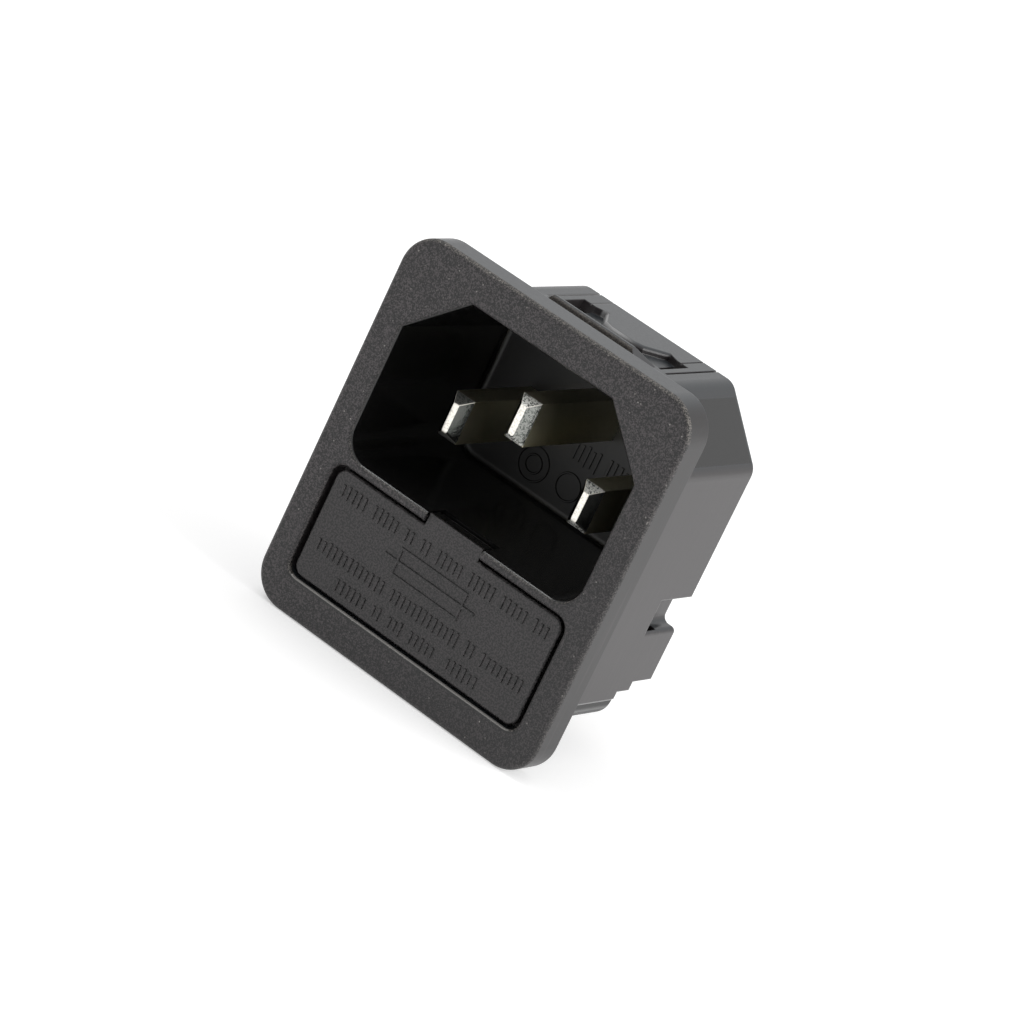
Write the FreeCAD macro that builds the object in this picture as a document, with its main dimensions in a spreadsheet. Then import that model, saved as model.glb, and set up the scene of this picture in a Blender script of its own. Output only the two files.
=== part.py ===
import FreeCAD, Part
import math
import os

import Sketcher

# A snap-in appliance inlet for a panel, with a fuse drawer under its socket.
# X points right seen from the front, Y into the panel, Z up.
# The origin is the middle of the flange's rear face, which seats on the panel.

# Every driving size in millimetres: its name in the sheet, its value, what it measures.
SIZES = (
    ("cavity_width", 24.7, "socket cavity, side to side"),
    ("cavity_height", 16.5, "socket cavity, floor side to top"),
    ("cavity_lift", 5.7, "middle of the cavity above the origin"),
    ("cavity_depth", 16.2, "cavity, mouth to floor"),
    ("cavity_shoulder_across", 4.95, "keying shoulder of the cavity, across"),
    ("cavity_shoulder_down", 4.8, "keying shoulder of the cavity, down"),
    ("cavity_corner_radius", 2.3, "lower corners of the cavity"),
    ("cavity_draft", 0.8, "draft of the cavity walls, degrees"),
    ("cavity_root_radius", 0.5, "lower edge of the cavity's floor"),
    ("mouth_bevel", 0.25, "bevelled edge of the cavity mouth"),
    ("side_wall", 0.85, "body wall beside the cavity"),
    ("top_wall", 1.35, "body wall above the cavity"),
    ("cavity_floor", 1.2, "wall behind the cavity"),
    ("body_shoulder_across", 5.2, "sloped shoulder of the body, across"),
    ("body_shoulder_down", 5.25, "sloped shoulder of the body, down"),
    ("body_shoulder_radius", 1.5, "rounding of the shoulder's edges"),
    ("body_corner_radius", 2.0, "lower long corners of the body"),
    ("body_step", 0.12, "step of the body's sides above their lower corners"),
    ("rear_edge_radius", 0.25, "rear edges of the body"),
    ("bottom_wall", 0.9, "body wall under the drawer bay"),
    ("flange_thickness", 3.05, "flange, front to rear"),
    ("flange_lip_side", 1.85, "flange beyond the body at each side"),
    ("flange_lip_top", 1.75, "flange beyond the body at the top"),
    ("flange_lip_bottom", 3.54, "flange beyond the body at the bottom"),
    ("flange_corner_radius", 3.2, "flange corners"),
    ("flange_edge_radius", 0.45, "rounded front edge of the flange"),
    ("bar_height", 0.8, "bar between the cavity and the drawer opening"),
    ("opening_width", 25.2, "drawer opening in the flange, side to side"),
    ("opening_height", 10.56, "drawer opening in the flange, up and down"),
    ("opening_radius", 1.2, "corners of the drawer opening"),
    ("opening_depth", 1.9, "recess that takes the drawer's front plate"),
    ("opening_bevel", 0.22, "bevelled edge of the drawer opening"),
    ("ledge_side", 0.9, "ledge behind the plate at each side"),
    ("ledge_top", 0.95, "ledge behind the plate at the top"),
    ("ledge_bottom", 1.31, "ledge behind the plate at the bottom"),
    ("ramp_run", 2.4, "sloped lower rear of the drawer bay, along the depth"),
    ("ramp_rise", 2.0, "sloped lower rear of the drawer bay, upward"),
    ("ramp_lift", 2.0, "foot of that slope above the bay's bottom"),
    ("tail_wall", 1.15, "wall behind the foot of the bay"),
    ("tail_step", 1.85, "second step of the body's lower rear, along the depth"),
    ("tail_rise", 0.8, "second step of the body's lower rear, upward"),
    ("tail_bevel", 0.5, "bevel under the body's lower rear"),
    ("notch_height", 3.0, "side notch, up and down"),
    ("notch_lift", 0.65, "top of the side notch above the cavity's bottom"),
    ("notch_inset", 1.35, "side notch, inward"),
    ("notch_depth", 5.0, "side notch, along the depth"),
    ("notch_radius", 0.6, "inner lower corner of the side notch"),
    ("notch_corner_radius", 0.45, "rear edge under the side notch"),
    ("pit_rim", 0.25, "rim outside the pit in the notch's floor"),
    ("pit_width", 0.75, "pit in the notch's floor, side to side"),
    ("pit_length", 1.8, "pit in the notch's floor, along the depth"),
    ("pit_depth", 0.9, "pit in the notch's floor, downward"),
    ("latch_setback", 2.75, "catch of the snap latch behind the flange"),
    ("latch_height", 1.35, "catch of the snap latch above the body"),
    ("latch_width", 10.4, "root of the catch, side to side"),
    ("latch_top_width", 8.3, "crest of the catch, side to side"),
    ("latch_length", 3.2, "catch with its ramp, along the depth"),
    ("latch_crest", 0.45, "flat on the crest, along the depth"),
    ("latch_edge_radius", 0.25, "front edge of the crest"),
    ("window_inner", 8.8, "between the latch windows"),
    ("window_width", 1.2, "each latch window, side to side"),
    ("window_start", 6.2, "front end of the latch windows"),
    ("window_length", 4.4, "latch windows, along the depth"),
    ("relief_depth", 0.6, "hollow round the latch windows"),
    ("nose_width", 2.4, "tip of the raised nose between the windows"),
    ("nose_start", 8.3, "tip of the raised nose behind the flange"),
    ("nose_cheek_width", 4.2, "nose behind the corners of its tip"),
    ("nose_cheek", 0.4, "corners of the nose's tip, along the depth"),
    ("nose_root_width", 7.0, "nose where it runs into the body"),
    ("nose_root", 2.75, "nose, tip to root"),
    ("nose_edge_radius", 0.35, "rounded edge of the nose"),
    ("groove_spacing", 12.6, "between the two witness grooves"),
    ("groove_width", 0.24, "witness groove, side to side"),
    ("groove_depth", 0.2, "witness groove, into the body"),
    ("crease_spacing", 9.7, "between the two creases behind the windows"),
    ("crease_width", 0.14, "crease, side to side"),
    ("crease_depth", 0.12, "crease, into the body"),
    ("blade_pitch", 14.0, "line blade to neutral blade"),
    ("blade_width", 2.0, "blade section, side to side"),
    ("blade_height", 4.0, "blade section, up and down"),
    ("blade_drop", 2.04, "line and neutral blades under the cavity's middle"),
    ("earth_rise", 4.0, "earth blade above the other two"),
    ("blade_setback", 5.1, "line and neutral shoulders behind the flange front"),
    ("earth_setback", 2.4, "earth shoulder behind the flange front"),
    ("tip_length", 1.0, "bevelled tip of a blade"),
    ("tip_width", 0.5, "flat end of a blade, side to side"),
    ("tip_height", 2.6, "flat end of a blade, up and down"),
    ("stake_radius", 0.9, "stake that holds a terminal"),
    ("stake_head_radius", 1.4, "spread head of a stake"),
    ("stake_head_height", 0.35, "spread head of a stake, along the depth"),
    ("plate_width", 19.0, "terminal plate, side to side"),
    ("plate_height", 13.1, "terminal plate, up and down"),
    ("plate_foot", 0.65, "terminal plate's lower edge above the cavity's bottom"),
    ("plate_thickness", 2.2, "terminal plate"),
    ("plate_radius", 1.5, "corners of the terminal plate"),
    ("barrier_spacing", 7.0, "between the two barriers of the plate"),
    ("barrier_width", 1.0, "each barrier, side to side"),
    ("barrier_height", 7.0, "each barrier, up and down"),
    ("barrier_depth", 2.5, "each barrier behind the plate"),
    ("tab_width", 4.8, "quick-connect tab"),
    ("tab_thickness", 0.8, "sheet of the tabs and the strap"),
    ("tab_length", 7.6, "quick-connect tab behind its foot"),
    ("tab_foot", 5.0, "foot of a tab, up and down"),
    ("tab_nose", 1.0, "bevel at the end of a tab"),
    ("tab_hole_radius", 0.7, "dimple hole of a tab"),
    ("strap_width", 4.4, "strap from the fuse to the line blade"),
    ("strap_margin", 2.2, "strap beyond its two joints"),
    ("contact_width", 3.6, "fuse contacts"),
    ("contact_sheet", 0.5, "sheet of the fuse contacts"),
    ("contact_rise", 3.1, "stem of the contacts above the fuse's middle"),
    ("contact_bend", 1.9, "where the contacts bend, above the fuse's middle"),
    ("contact_crown", 0.4, "crown of the contacts, above the fuse's middle"),
    ("contact_toe", 0.4, "free end of the contacts, below the fuse's middle"),
    ("contact_lift", 0.25, "free end of the contacts behind their crown"),
    ("contact_gap", 0.15, "running gap from the contacts to the fuse"),
    ("contact_room", 1.06, "rear of the working fuse to the bay's rear wall"),
    ("front_inset", 0.34, "drawer's face behind the flange's face"),
    ("front_thickness", 1.3, "drawer's front plate"),
    ("front_gap_side", 0.45, "gap beside the front plate"),
    ("front_gap_end", 0.3, "gap above and under the front plate"),
    ("front_radius", 1.0, "corners of the front plate"),
    ("front_edge_bevel", 0.13, "bevelled rim of the front plate"),
    ("finger_width", 5.7, "finger tab of the drawer"),
    ("finger_gap", 0.15, "gap beside the finger tab"),
    ("catch_width", 3.9, "catch behind the finger tab"),
    ("catch_depth", 0.8, "catch behind the finger tab, along the depth"),
    ("catch_drop", 0.25, "catch under the finger tab's top"),
    ("catch_room", 0.25, "gap behind the catch"),
    ("tray_gap", 0.25, "running gap round the drawer's tray"),
    ("tray_floor", 1.5, "floor of the tray under the fuses"),
    ("tray_end_gap", 1.4, "end of the tray to the bay's rear wall"),
    ("tray_ramp_gap", 0.35, "gap from the tray to the sloped rear"),
    ("tray_wall_top", 0.5, "dividing walls above the fuses' middle"),
    ("cradle_gap", 0.15, "gap round a fuse in its cradle"),
    ("cradle_end_gap", 0.2, "gap beyond each end of a fuse"),
    ("fuse_length", 20.0, "fuse over its caps"),
    ("fuse_diameter", 5.2, "fuse caps"),
    ("fuse_cap_length", 5.0, "fuse cap"),
    ("fuse_cap_sheet", 0.2, "sheet of the fuse caps"),
    ("fuse_bore", 3.6, "bore of the glass tube"),
    ("fuse_wire", 0.3, "fuse wire"),
    ("fuse_spacing", 0.3, "between the two fuses"),
)


class Size:
    """A length together with the sheet formula that gives it."""

    def __init__(self, value, formula):
        self.value = float(value)
        self.formula = formula

    @staticmethod
    def of(other):
        return other if isinstance(other, Size) else Size(other, repr(float(other)))

    def _join(self, other, sign, value):
        return Size(value, "(" + self.formula + " " + sign + " " + other.formula + ")")

    def __add__(self, other):
        other = Size.of(other)
        return self._join(other, "+", self.value + other.value)

    def __sub__(self, other):
        other = Size.of(other)
        return self._join(other, "-", self.value - other.value)

    def __mul__(self, other):
        other = Size.of(other)
        return self._join(other, "*", self.value * other.value)

    def __truediv__(self, other):
        other = Size.of(other)
        return self._join(other, "/", self.value / other.value)

    def __neg__(self):
        return Size(-self.value, "(-1 * " + self.formula + ")")


class Sheet:
    """The sizes by name, each bound to its cell."""

    def __init__(self, doc):
        sheet = doc.addObject("Spreadsheet::Sheet", "Sizes")
        for row, (alias, value, note) in enumerate(SIZES, start=1):
            sheet.set("A" + str(row), alias)
            sheet.set("B" + str(row), str(value))
            sheet.set("C" + str(row), note)
            sheet.setAlias("B" + str(row), alias)
            setattr(self, alias, Size(value, "Sizes." + alias))
        doc.recompute()


class Layout:
    """Places that several pieces share, worked out from the sheet."""

    def __init__(self, s):
        self.front = -s.flange_thickness
        self.cavity_bottom = s.cavity_lift - s.cavity_height / 2
        self.cavity_top = s.cavity_lift + s.cavity_height / 2
        self.body_half = s.cavity_width / 2 + s.side_wall
        self.body_top = self.cavity_top + s.top_wall
        self.body_rear = s.cavity_depth + s.cavity_floor - s.flange_thickness
        self.opening_top = self.cavity_bottom - s.bar_height
        self.opening_bottom = self.opening_top - s.opening_height
        self.bay_half = s.opening_width / 2 - s.ledge_side
        self.bay_top = self.opening_top - s.ledge_top
        self.bay_bottom = self.opening_bottom + s.ledge_bottom
        self.body_bottom = self.bay_bottom - s.bottom_wall
        self.flange_half = self.body_half + s.flange_lip_side
        self.flange_top = self.body_top + s.flange_lip_top
        self.flange_bottom = self.body_bottom - s.flange_lip_bottom
        # fuses and the bay behind them
        self.face = self.front + s.front_inset
        self.face_rear = self.face + s.front_thickness
        self.fuse_radius = s.fuse_diameter / 2
        self.cradle_radius = self.fuse_radius + s.cradle_gap
        self.spare_y = self.face_rear + s.cradle_gap + s.cradle_gap + self.fuse_radius
        self.fuse_y = self.spare_y + s.fuse_diameter + s.fuse_spacing
        self.fuse_z = self.bay_bottom + s.tray_gap + s.tray_floor + self.cradle_radius
        self.bay_rear = self.fuse_y + self.fuse_radius + s.contact_room
        self.bay_foot = self.bay_rear - s.ramp_run
        self.ramp_low = self.bay_bottom + s.ramp_lift
        self.ramp_high = self.ramp_low + s.ramp_rise
        self.tail_low = self.bay_foot + s.tail_wall
        self.tail_mid = self.tail_low + s.tail_step
        self.tail_mid_z = self.ramp_low + s.tail_rise
        # blades and terminals
        self.blade_x = s.blade_pitch / 2
        self.blade_z = s.cavity_lift - s.blade_drop
        self.earth_z = self.blade_z + s.earth_rise
        self.plate_rear = self.body_rear + s.plate_thickness
        self.stem_top = self.fuse_z + s.contact_rise
        self.stem_middle = self.stem_top - s.contact_sheet / 2


ZERO = Size(0.0, "0")


def bind(thing, name, size):
    """Set a property and tie it to the sheet."""
    thing.setExpression(name, size.formula)


def plane_of(body, role):
    """The body's own origin plane."""
    return next(part for part in body.Origin.OriginFeatures if part.Role == role)


def new_body(doc, label):
    body = doc.addObject("PartDesign::Body", label)
    body.Label = label
    return body


def new_sketch(body, name, role, lift):
    sketch = body.newObject("Sketcher::SketchObject", name)
    sketch.AttachmentSupport = [(plane_of(body, role), "")]
    sketch.MapMode = "FlatFace"
    if lift is not None:
        sketch.AttachmentOffset = FreeCAD.Placement(FreeCAD.Vector(0, 0, lift.value), FreeCAD.Rotation())
        bind(sketch, "AttachmentOffset.Base.z", lift)
    return sketch


def fix_point(sketch, edge, place, point, name):
    """Hold one sketch point at its two sheet formulas."""
    for axis, kind, on_axis, size in (("x", "DistanceX", -2, point[0]), ("y", "DistanceY", -1, point[1])):
        if size.value == 0.0:
            sketch.addConstraint(Sketcher.Constraint("PointOnObject", edge, place, on_axis))
        else:
            index = sketch.addConstraint(Sketcher.Constraint(kind, -1, 1, edge, place, size.value))
            sketch.renameConstraint(index, name + "_" + axis)
            bind(sketch, "Constraints." + name + "_" + axis, size)


def outline(body, name, role, corners, lift=None):
    """A closed profile through its corners."""
    sketch = new_sketch(body, name, role, lift)
    count = len(corners)
    for index in range(count):
        start, end = corners[index], corners[(index + 1) % count]
        first = FreeCAD.Vector(start[0].value, start[1].value, 0)
        last = FreeCAD.Vector(end[0].value, end[1].value, 0)
        sketch.addGeometry(Part.LineSegment(first, last), False)
    for index in range(count):
        sketch.addConstraint(Sketcher.Constraint("Coincident", index, 2, (index + 1) % count, 1))
    for index, corner in enumerate(corners):
        fix_point(sketch, index, 1, corner, "corner" + str(index))
    return sketch


def oblong(body, name, role, low, high, lift=None):
    """A rectangular profile from its low corner to its high corner."""
    corners = (low, (high[0], low[1]), high, (low[0], high[1]))
    return outline(body, name, role, corners, lift)


def ring(body, name, role, centre, radius, lift=None):
    """A round profile."""
    sketch = new_sketch(body, name, role, lift)
    middle = FreeCAD.Vector(centre[0].value, centre[1].value, 0)
    sketch.addGeometry(Part.Circle(middle, FreeCAD.Vector(0, 0, 1), radius.value), False)
    fix_point(sketch, 0, 3, centre, "centre")
    index = sketch.addConstraint(Sketcher.Constraint("Radius", 0, radius.value))
    sketch.renameConstraint(index, "radius")
    bind(sketch, "Constraints.radius", radius)
    return sketch


def volume_of(body):
    shape = body.Shape
    return 0.0 if shape.isNull() else shape.Volume


def pad(body, name, sketch, length, backward=False, symmetric=False):
    """Grow a profile; on the upright front plane, backward means into the panel."""
    feature = body.newObject("PartDesign::Pad", name)
    feature.Profile = sketch
    bind(feature, "Length", length)
    feature.Reversed = backward
    feature.SideType = "Symmetric" if symmetric else "One side"
    body.Document.recompute()
    return feature


def cut(body, name, sketch, length, backward=False, symmetric=False, draft=None):
    """Cut a profile out of the body, and make sure that it does cut."""
    before = volume_of(body)
    feature = body.newObject("PartDesign::Pocket", name)
    feature.Profile = sketch
    bind(feature, "Length", length)
    feature.Reversed = backward
    feature.SideType = "Symmetric" if symmetric else "One side"
    if draft is not None:
        bind(feature, "TaperAngle", draft)
    body.Document.recompute()
    if volume_of(body) >= before:
        raise RuntimeError(name + " cuts nothing")
    return feature


def loft(body, name, first, last):
    feature = body.newObject("PartDesign::AdditiveLoft", name)
    feature.Profile = first
    feature.Sections = [last]
    feature.Ruled = True
    body.Document.recompute()
    return feature


def mirror(body, name, feature):
    """The same feature on the other side of the middle plane."""
    before = volume_of(body)
    copy = body.newObject("PartDesign::Mirrored", name)
    copy.Originals = [feature]
    copy.MirrorPlane = (plane_of(body, "YZ_Plane"), [""])
    body.Tip = copy
    body.Document.recompute()
    if abs(volume_of(body) - before) < 1e-6:
        raise RuntimeError(name + " changes nothing")
    return copy


def runs_along(edge, axis):
    """True for a straight edge along one axis: 0, 1 or 2."""
    if edge.Curve.TypeId != "Part::GeomLine":
        return False
    span = edge.Vertexes[-1].Point - edge.Vertexes[0].Point
    across = math.hypot(span[(axis + 1) % 3], span[(axis + 2) % 3])
    return across < 0.02 * abs(span[axis])


def at(edge, axis, size, slack=0.02):
    """True when the whole edge lies at one coordinate."""
    return all(abs(vertex.Point[axis] - size.value) < slack for vertex in edge.Vertexes)


def round_edges(body, name, radius, wanted, bevel=False):
    """Round, or bevel, the edges that wanted() picks from the body."""
    tip = body.Tip
    names = ["Edge" + str(i) for i, edge in enumerate(body.Shape.Edges, start=1) if wanted(edge)]
    if not names:
        raise RuntimeError(name + " finds no edge")
    feature = body.newObject("PartDesign::Chamfer" if bevel else "PartDesign::Fillet", name)
    feature.Base = (tip, names)
    bind(feature, "Size" if bevel else "Radius", radius)
    body.Document.recompute()
    return feature


def place(body, x, y, z):
    """Put a piece at its seat, tied to the sheet."""
    for axis, size in (("x", x), ("y", y), ("z", z)):
        if size.value != 0.0:
            bind(body, "Placement.Base." + axis, size)


# ---------------------------------------------------------------- housing


def body_shell(body, s, at_):
    """The block behind the flange, with sloped shoulders like the plug's."""
    half = at_.body_half
    flat = half - s.body_shoulder_across
    knee = at_.body_top - s.body_shoulder_down
    low_half = half - s.body_step
    step = at_.body_bottom + s.body_corner_radius + s.body_step
    corners = (
        (-low_half, at_.body_bottom), (low_half, at_.body_bottom), (low_half, step),
        (half, step + s.body_step), (half, knee), (flat, at_.body_top), (-flat, at_.body_top), (-half, knee),
        (-half, step + s.body_step), (-low_half, step),
    )
    pad(body, "BodyBlock", outline(body, "BodyOutline", "XZ_Plane", corners), at_.body_rear, backward=True)

    def shoulder(edge):
        high = at(edge, 2, knee) or at(edge, 2, at_.body_top)
        return runs_along(edge, 1) and high

    round_edges(body, "ShoulderRounding", s.body_shoulder_radius, shoulder)
    round_edges(body, "LowerCorners", s.body_corner_radius,
                lambda edge: runs_along(edge, 1) and at(edge, 2, at_.body_bottom))
    round_edges(body, "RearRim", s.rear_edge_radius, lambda edge: at(edge, 1, at_.body_rear))


def stepped_tail(body, s, at_):
    """The lower rear is cut back in two steps round the drawer bay."""
    beyond = at_.body_rear + s.cavity_floor
    under = at_.body_bottom - s.bottom_wall
    corners = (
        (at_.tail_low - s.tail_bevel, under), (beyond, under), (beyond, at_.tail_mid_z),
        (at_.tail_mid, at_.tail_mid_z), (at_.tail_mid, at_.ramp_low), (at_.tail_low, at_.ramp_low),
        (at_.tail_low, at_.body_bottom + s.tail_bevel), (at_.tail_low - s.tail_bevel, at_.body_bottom),
    )
    sketch = outline(body, "TailOutline", "YZ_Plane", corners)
    cut(body, "TailSteps", sketch, at_.body_half * 4, symmetric=True)


def flange(body, s, at_):
    low = (-at_.flange_half, at_.flange_bottom)
    high = (at_.flange_half, at_.flange_top)
    pad(body, "Flange", oblong(body, "FlangeOutline", "XZ_Plane", low, high), s.flange_thickness)

    def corner(edge):
        side = at(edge, 0, at_.flange_half) or at(edge, 0, -at_.flange_half)
        return runs_along(edge, 1) and side and at_end(edge)

    def at_end(edge):
        return at(edge, 2, at_.flange_top) or at(edge, 2, at_.flange_bottom)

    round_edges(body, "FlangeCorners", s.flange_corner_radius, corner)
    inner = at_.body_half.value

    def front_rim(edge):
        middle = edge.CenterOfMass
        outside = abs(middle.x) > inner or not at_.body_bottom.value < middle.z < at_.body_top.value
        return at(edge, 1, at_.front) and outside

    round_edges(body, "FlangeEdge", s.flange_edge_radius, front_rim)


def socket_cavity(body, s, at_):
    """The keyed socket: two shoulders above, two round corners below, with draft."""
    half = s.cavity_width / 2
    flat = half - s.cavity_shoulder_across
    knee = at_.cavity_top - s.cavity_shoulder_down
    corners = (
        (-half, at_.cavity_bottom), (half, at_.cavity_bottom), (half, knee),
        (flat, at_.cavity_top), (-flat, at_.cavity_top), (-half, knee),
    )
    sketch = outline(body, "CavityOutline", "XZ_Plane", corners, lift=s.flange_thickness)
    cut(body, "Cavity", sketch, s.cavity_depth, draft=-s.cavity_draft)

    def lower_corner(edge):
        ends = [vertex.Point for vertex in edge.Vertexes]
        deep = max(end.y for end in ends) - min(end.y for end in ends) > s.cavity_depth.value * 0.9
        low = all(abs(end.z - at_.cavity_bottom.value) < s.top_wall.value for end in ends)
        return deep and low and all(abs(end.x) < at_.body_half.value for end in ends)

    round_edges(body, "CavityCorners", s.cavity_corner_radius, lower_corner)

    def root(edge):
        floor = s.cavity_depth.value + at_.front.value
        low = edge.CenterOfMass.z < at_.cavity_bottom.value + s.top_wall.value
        return runs_along(edge, 0) and abs(edge.CenterOfMass.y - floor) < s.mouth_bevel.value and low

    round_edges(body, "CavityRoot", s.cavity_root_radius, root)

    def mouth(edge):
        middle = edge.CenterOfMass
        inside = abs(middle.x) < half.value + 0.1
        level = at_.cavity_bottom.value - 0.1 < middle.z < at_.cavity_top.value + 0.1
        return at(edge, 1, at_.front) and inside and level

    round_edges(body, "CavityMouth", s.mouth_bevel, mouth, bevel=True)


def drawer_bay(body, s, at_):
    """The recess for the drawer's front plate, and the bay for its tray."""
    half = s.opening_width / 2
    sketch = oblong(body, "OpeningOutline", "XZ_Plane", (-half, at_.opening_bottom), (half, at_.opening_top),
                    lift=s.flange_thickness)
    cut(body, "Opening", sketch, s.opening_depth)
    round_edges(body, "OpeningCorners", s.opening_radius,
                lambda edge: runs_along(edge, 1) and (at(edge, 0, half) or at(edge, 0, -half)))

    def mouth(edge):
        middle = edge.CenterOfMass
        level = at_.opening_bottom.value - 0.1 < middle.z < at_.opening_top.value + 0.1
        return at(edge, 1, at_.front) and abs(middle.x) < half.value + 0.1 and level

    round_edges(body, "OpeningMouth", s.opening_bevel, mouth, bevel=True)
    corners = (
        (at_.front, at_.bay_bottom), (at_.bay_foot, at_.bay_bottom), (at_.bay_foot, at_.ramp_low),
        (at_.bay_rear, at_.ramp_high), (at_.bay_rear, at_.bay_top), (at_.front, at_.bay_top),
    )
    sketch = outline(body, "BayOutline", "YZ_Plane", corners)
    cut(body, "Bay", sketch, at_.bay_half * 2, symmetric=True)
    slot = s.finger_width / 2 + s.finger_gap
    high = (slot, at_.cavity_bottom + s.bar_height)
    sketch = oblong(body, "FingerSlotOutline", "XZ_Plane", (-slot, at_.bay_top), high, lift=s.flange_thickness)
    depth = s.front_inset + s.front_thickness + s.catch_depth + s.catch_room
    cut(body, "FingerSlot", sketch, depth)


def side_notches(body, s, at_):
    """A notch in the rear edge of each side wall."""
    top = at_.cavity_bottom + s.notch_lift
    outer = at_.body_half + s.side_wall
    inner = at_.body_half - s.notch_inset
    low = (inner, top - s.notch_height)
    sketch = oblong(body, "NotchOutline", "XZ_Plane", low, (outer, top), lift=-at_.body_rear)
    notch = cut(body, "Notch", sketch, s.notch_depth, backward=True)
    mirror(body, "NotchPair", notch)

    def root(edge):
        side = at(edge, 0, inner) or at(edge, 0, -inner)
        return runs_along(edge, 1) and side and at(edge, 2, top - s.notch_height)

    round_edges(body, "NotchRoots", s.notch_radius, root)
    floor = top - s.notch_height
    outer = at_.body_half - s.pit_rim
    front = at_.body_rear - s.notch_depth
    high = (outer, front + s.pit_length)
    sketch = oblong(body, "PitOutline", "XY_Plane", (outer - s.pit_width, front), high, lift=floor)
    pit = cut(body, "Pit", sketch, s.pit_depth)
    mirror(body, "PitPair", pit)

    def rear_corner(edge):
        return runs_along(edge, 0) and at(edge, 1, at_.body_rear) and at(edge, 2, floor)

    round_edges(body, "NotchCorners", s.notch_corner_radius, rear_corner)


def snap_catch(body, name, s, at_, top, upward):
    """A catch that snaps behind the panel: steep in front, ramped behind."""
    sign = 1 if upward else -1
    tip = s.latch_setback
    half_root = s.latch_width / 2
    half_top = s.latch_top_width / 2
    rear = (half_root, tip + s.latch_length)
    root = oblong(body, name + "Root", "XY_Plane", (-half_root, tip), rear, lift=top)
    crest = oblong(body, name + "Crest", "XY_Plane", (-half_top, tip), (half_top, tip + s.latch_crest),
                   lift=top + s.latch_height * sign)
    loft(body, name, root, crest)
    height = top + s.latch_height * sign
    round_edges(body, name + "Edge", s.latch_edge_radius,
                lambda edge: at(edge, 2, height) and at(edge, 1, tip) and runs_along(edge, 0))


def snap_latch(body, s, at_):
    """The sprung top wall: catch, two windows, a hollow round a raised nose."""
    top = at_.body_top
    snap_catch(body, "TopCatch", s, at_, top, upward=True)
    inner = s.window_inner / 2
    outer = inner + s.window_width
    start = s.window_start
    end = start + s.window_length
    nose = s.nose_width / 2
    cheek = (s.nose_cheek_width / 2, s.nose_start + s.nose_cheek)
    root = (s.nose_root_width / 2, s.nose_start + s.nose_root)
    corners = (
        (-outer, start), (outer, start), (outer, end), (inner, end), root, cheek, (nose, s.nose_start),
        (-nose, s.nose_start), (-cheek[0], cheek[1]), (-root[0], root[1]), (-inner, end), (-outer, end),
    )
    cut(body, "LatchHollow", outline(body, "HollowOutline", "XY_Plane", corners, lift=top), s.relief_depth)

    def nose_rim(edge):
        margin = s.nose_cheek.value / 2
        ends = [vertex.Point for vertex in edge.Vertexes]
        along = all(s.nose_start.value - margin < end.y < root[1].value + margin for end in ends)
        across = all(abs(end.x) < root[0].value + margin for end in ends)
        return at(edge, 2, top) and along and across

    round_edges(body, "NoseRim", s.nose_edge_radius, nose_rim)
    sketch = oblong(body, "WindowOutline", "XY_Plane", (inner, start), (outer, end), lift=top)
    window = cut(body, "Window", sketch, s.top_wall + s.cavity_shoulder_down)
    mirror(body, "WindowPair", window)
    lines = (
        ("Groove", s.groove_spacing / 2, s.groove_width, s.groove_depth, start - s.groove_width),
        ("Crease", s.crease_spacing / 2, s.crease_width, s.crease_depth, end),
    )
    for name, line, width, depth, front in lines:
        low = (line - width / 2, front)
        high = (line + width / 2, at_.body_rear + s.cavity_floor)
        mark = cut(body, name, oblong(body, name + "Outline", "XY_Plane", low, high, lift=top), depth)
        mirror(body, name + "Pair", mark)


def terminal_openings(body, s, at_):
    """Slots through the rear walls for the three blades and the two fuse contacts."""
    for name, x, z in blade_places(at_):
        low = (x - s.blade_width / 2, z - s.blade_height / 2)
        high = (x + s.blade_width / 2, z + s.blade_height / 2)
        sketch = oblong(body, name + "SlotOutline", "XZ_Plane", low, high, lift=-at_.body_rear)
        cut(body, name + "Slot", sketch, s.cavity_floor * 2, backward=True)
    half = s.contact_width / 2
    low = (at_.blade_x - half, at_.stem_top - s.contact_sheet)
    high = (at_.blade_x + half, at_.stem_top)
    sketch = oblong(body, "StemSlotOutline", "XZ_Plane", low, high, lift=-at_.body_rear)
    stem = cut(body, "StemSlot", sketch, at_.body_rear - at_.bay_rear, backward=True)
    mirror(body, "StemSlotPair", stem)


def blade_places(at_):
    return (
        ("Line", at_.blade_x, at_.blade_z),
        ("Neutral", -at_.blade_x, at_.blade_z),
        ("Earth", ZERO, at_.earth_z),
    )


def housing(doc, s, at_):
    body = new_body(doc, "housing")
    body_shell(body, s, at_)
    stepped_tail(body, s, at_)
    flange(body, s, at_)
    socket_cavity(body, s, at_)
    drawer_bay(body, s, at_)
    side_notches(body, s, at_)
    snap_latch(body, s, at_)
    snap_catch(body, "BottomCatch", s, at_, at_.body_bottom, upward=False)
    terminal_openings(body, s, at_)
    return body


# ---------------------------------------------------------------- rear plate and terminals


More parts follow.
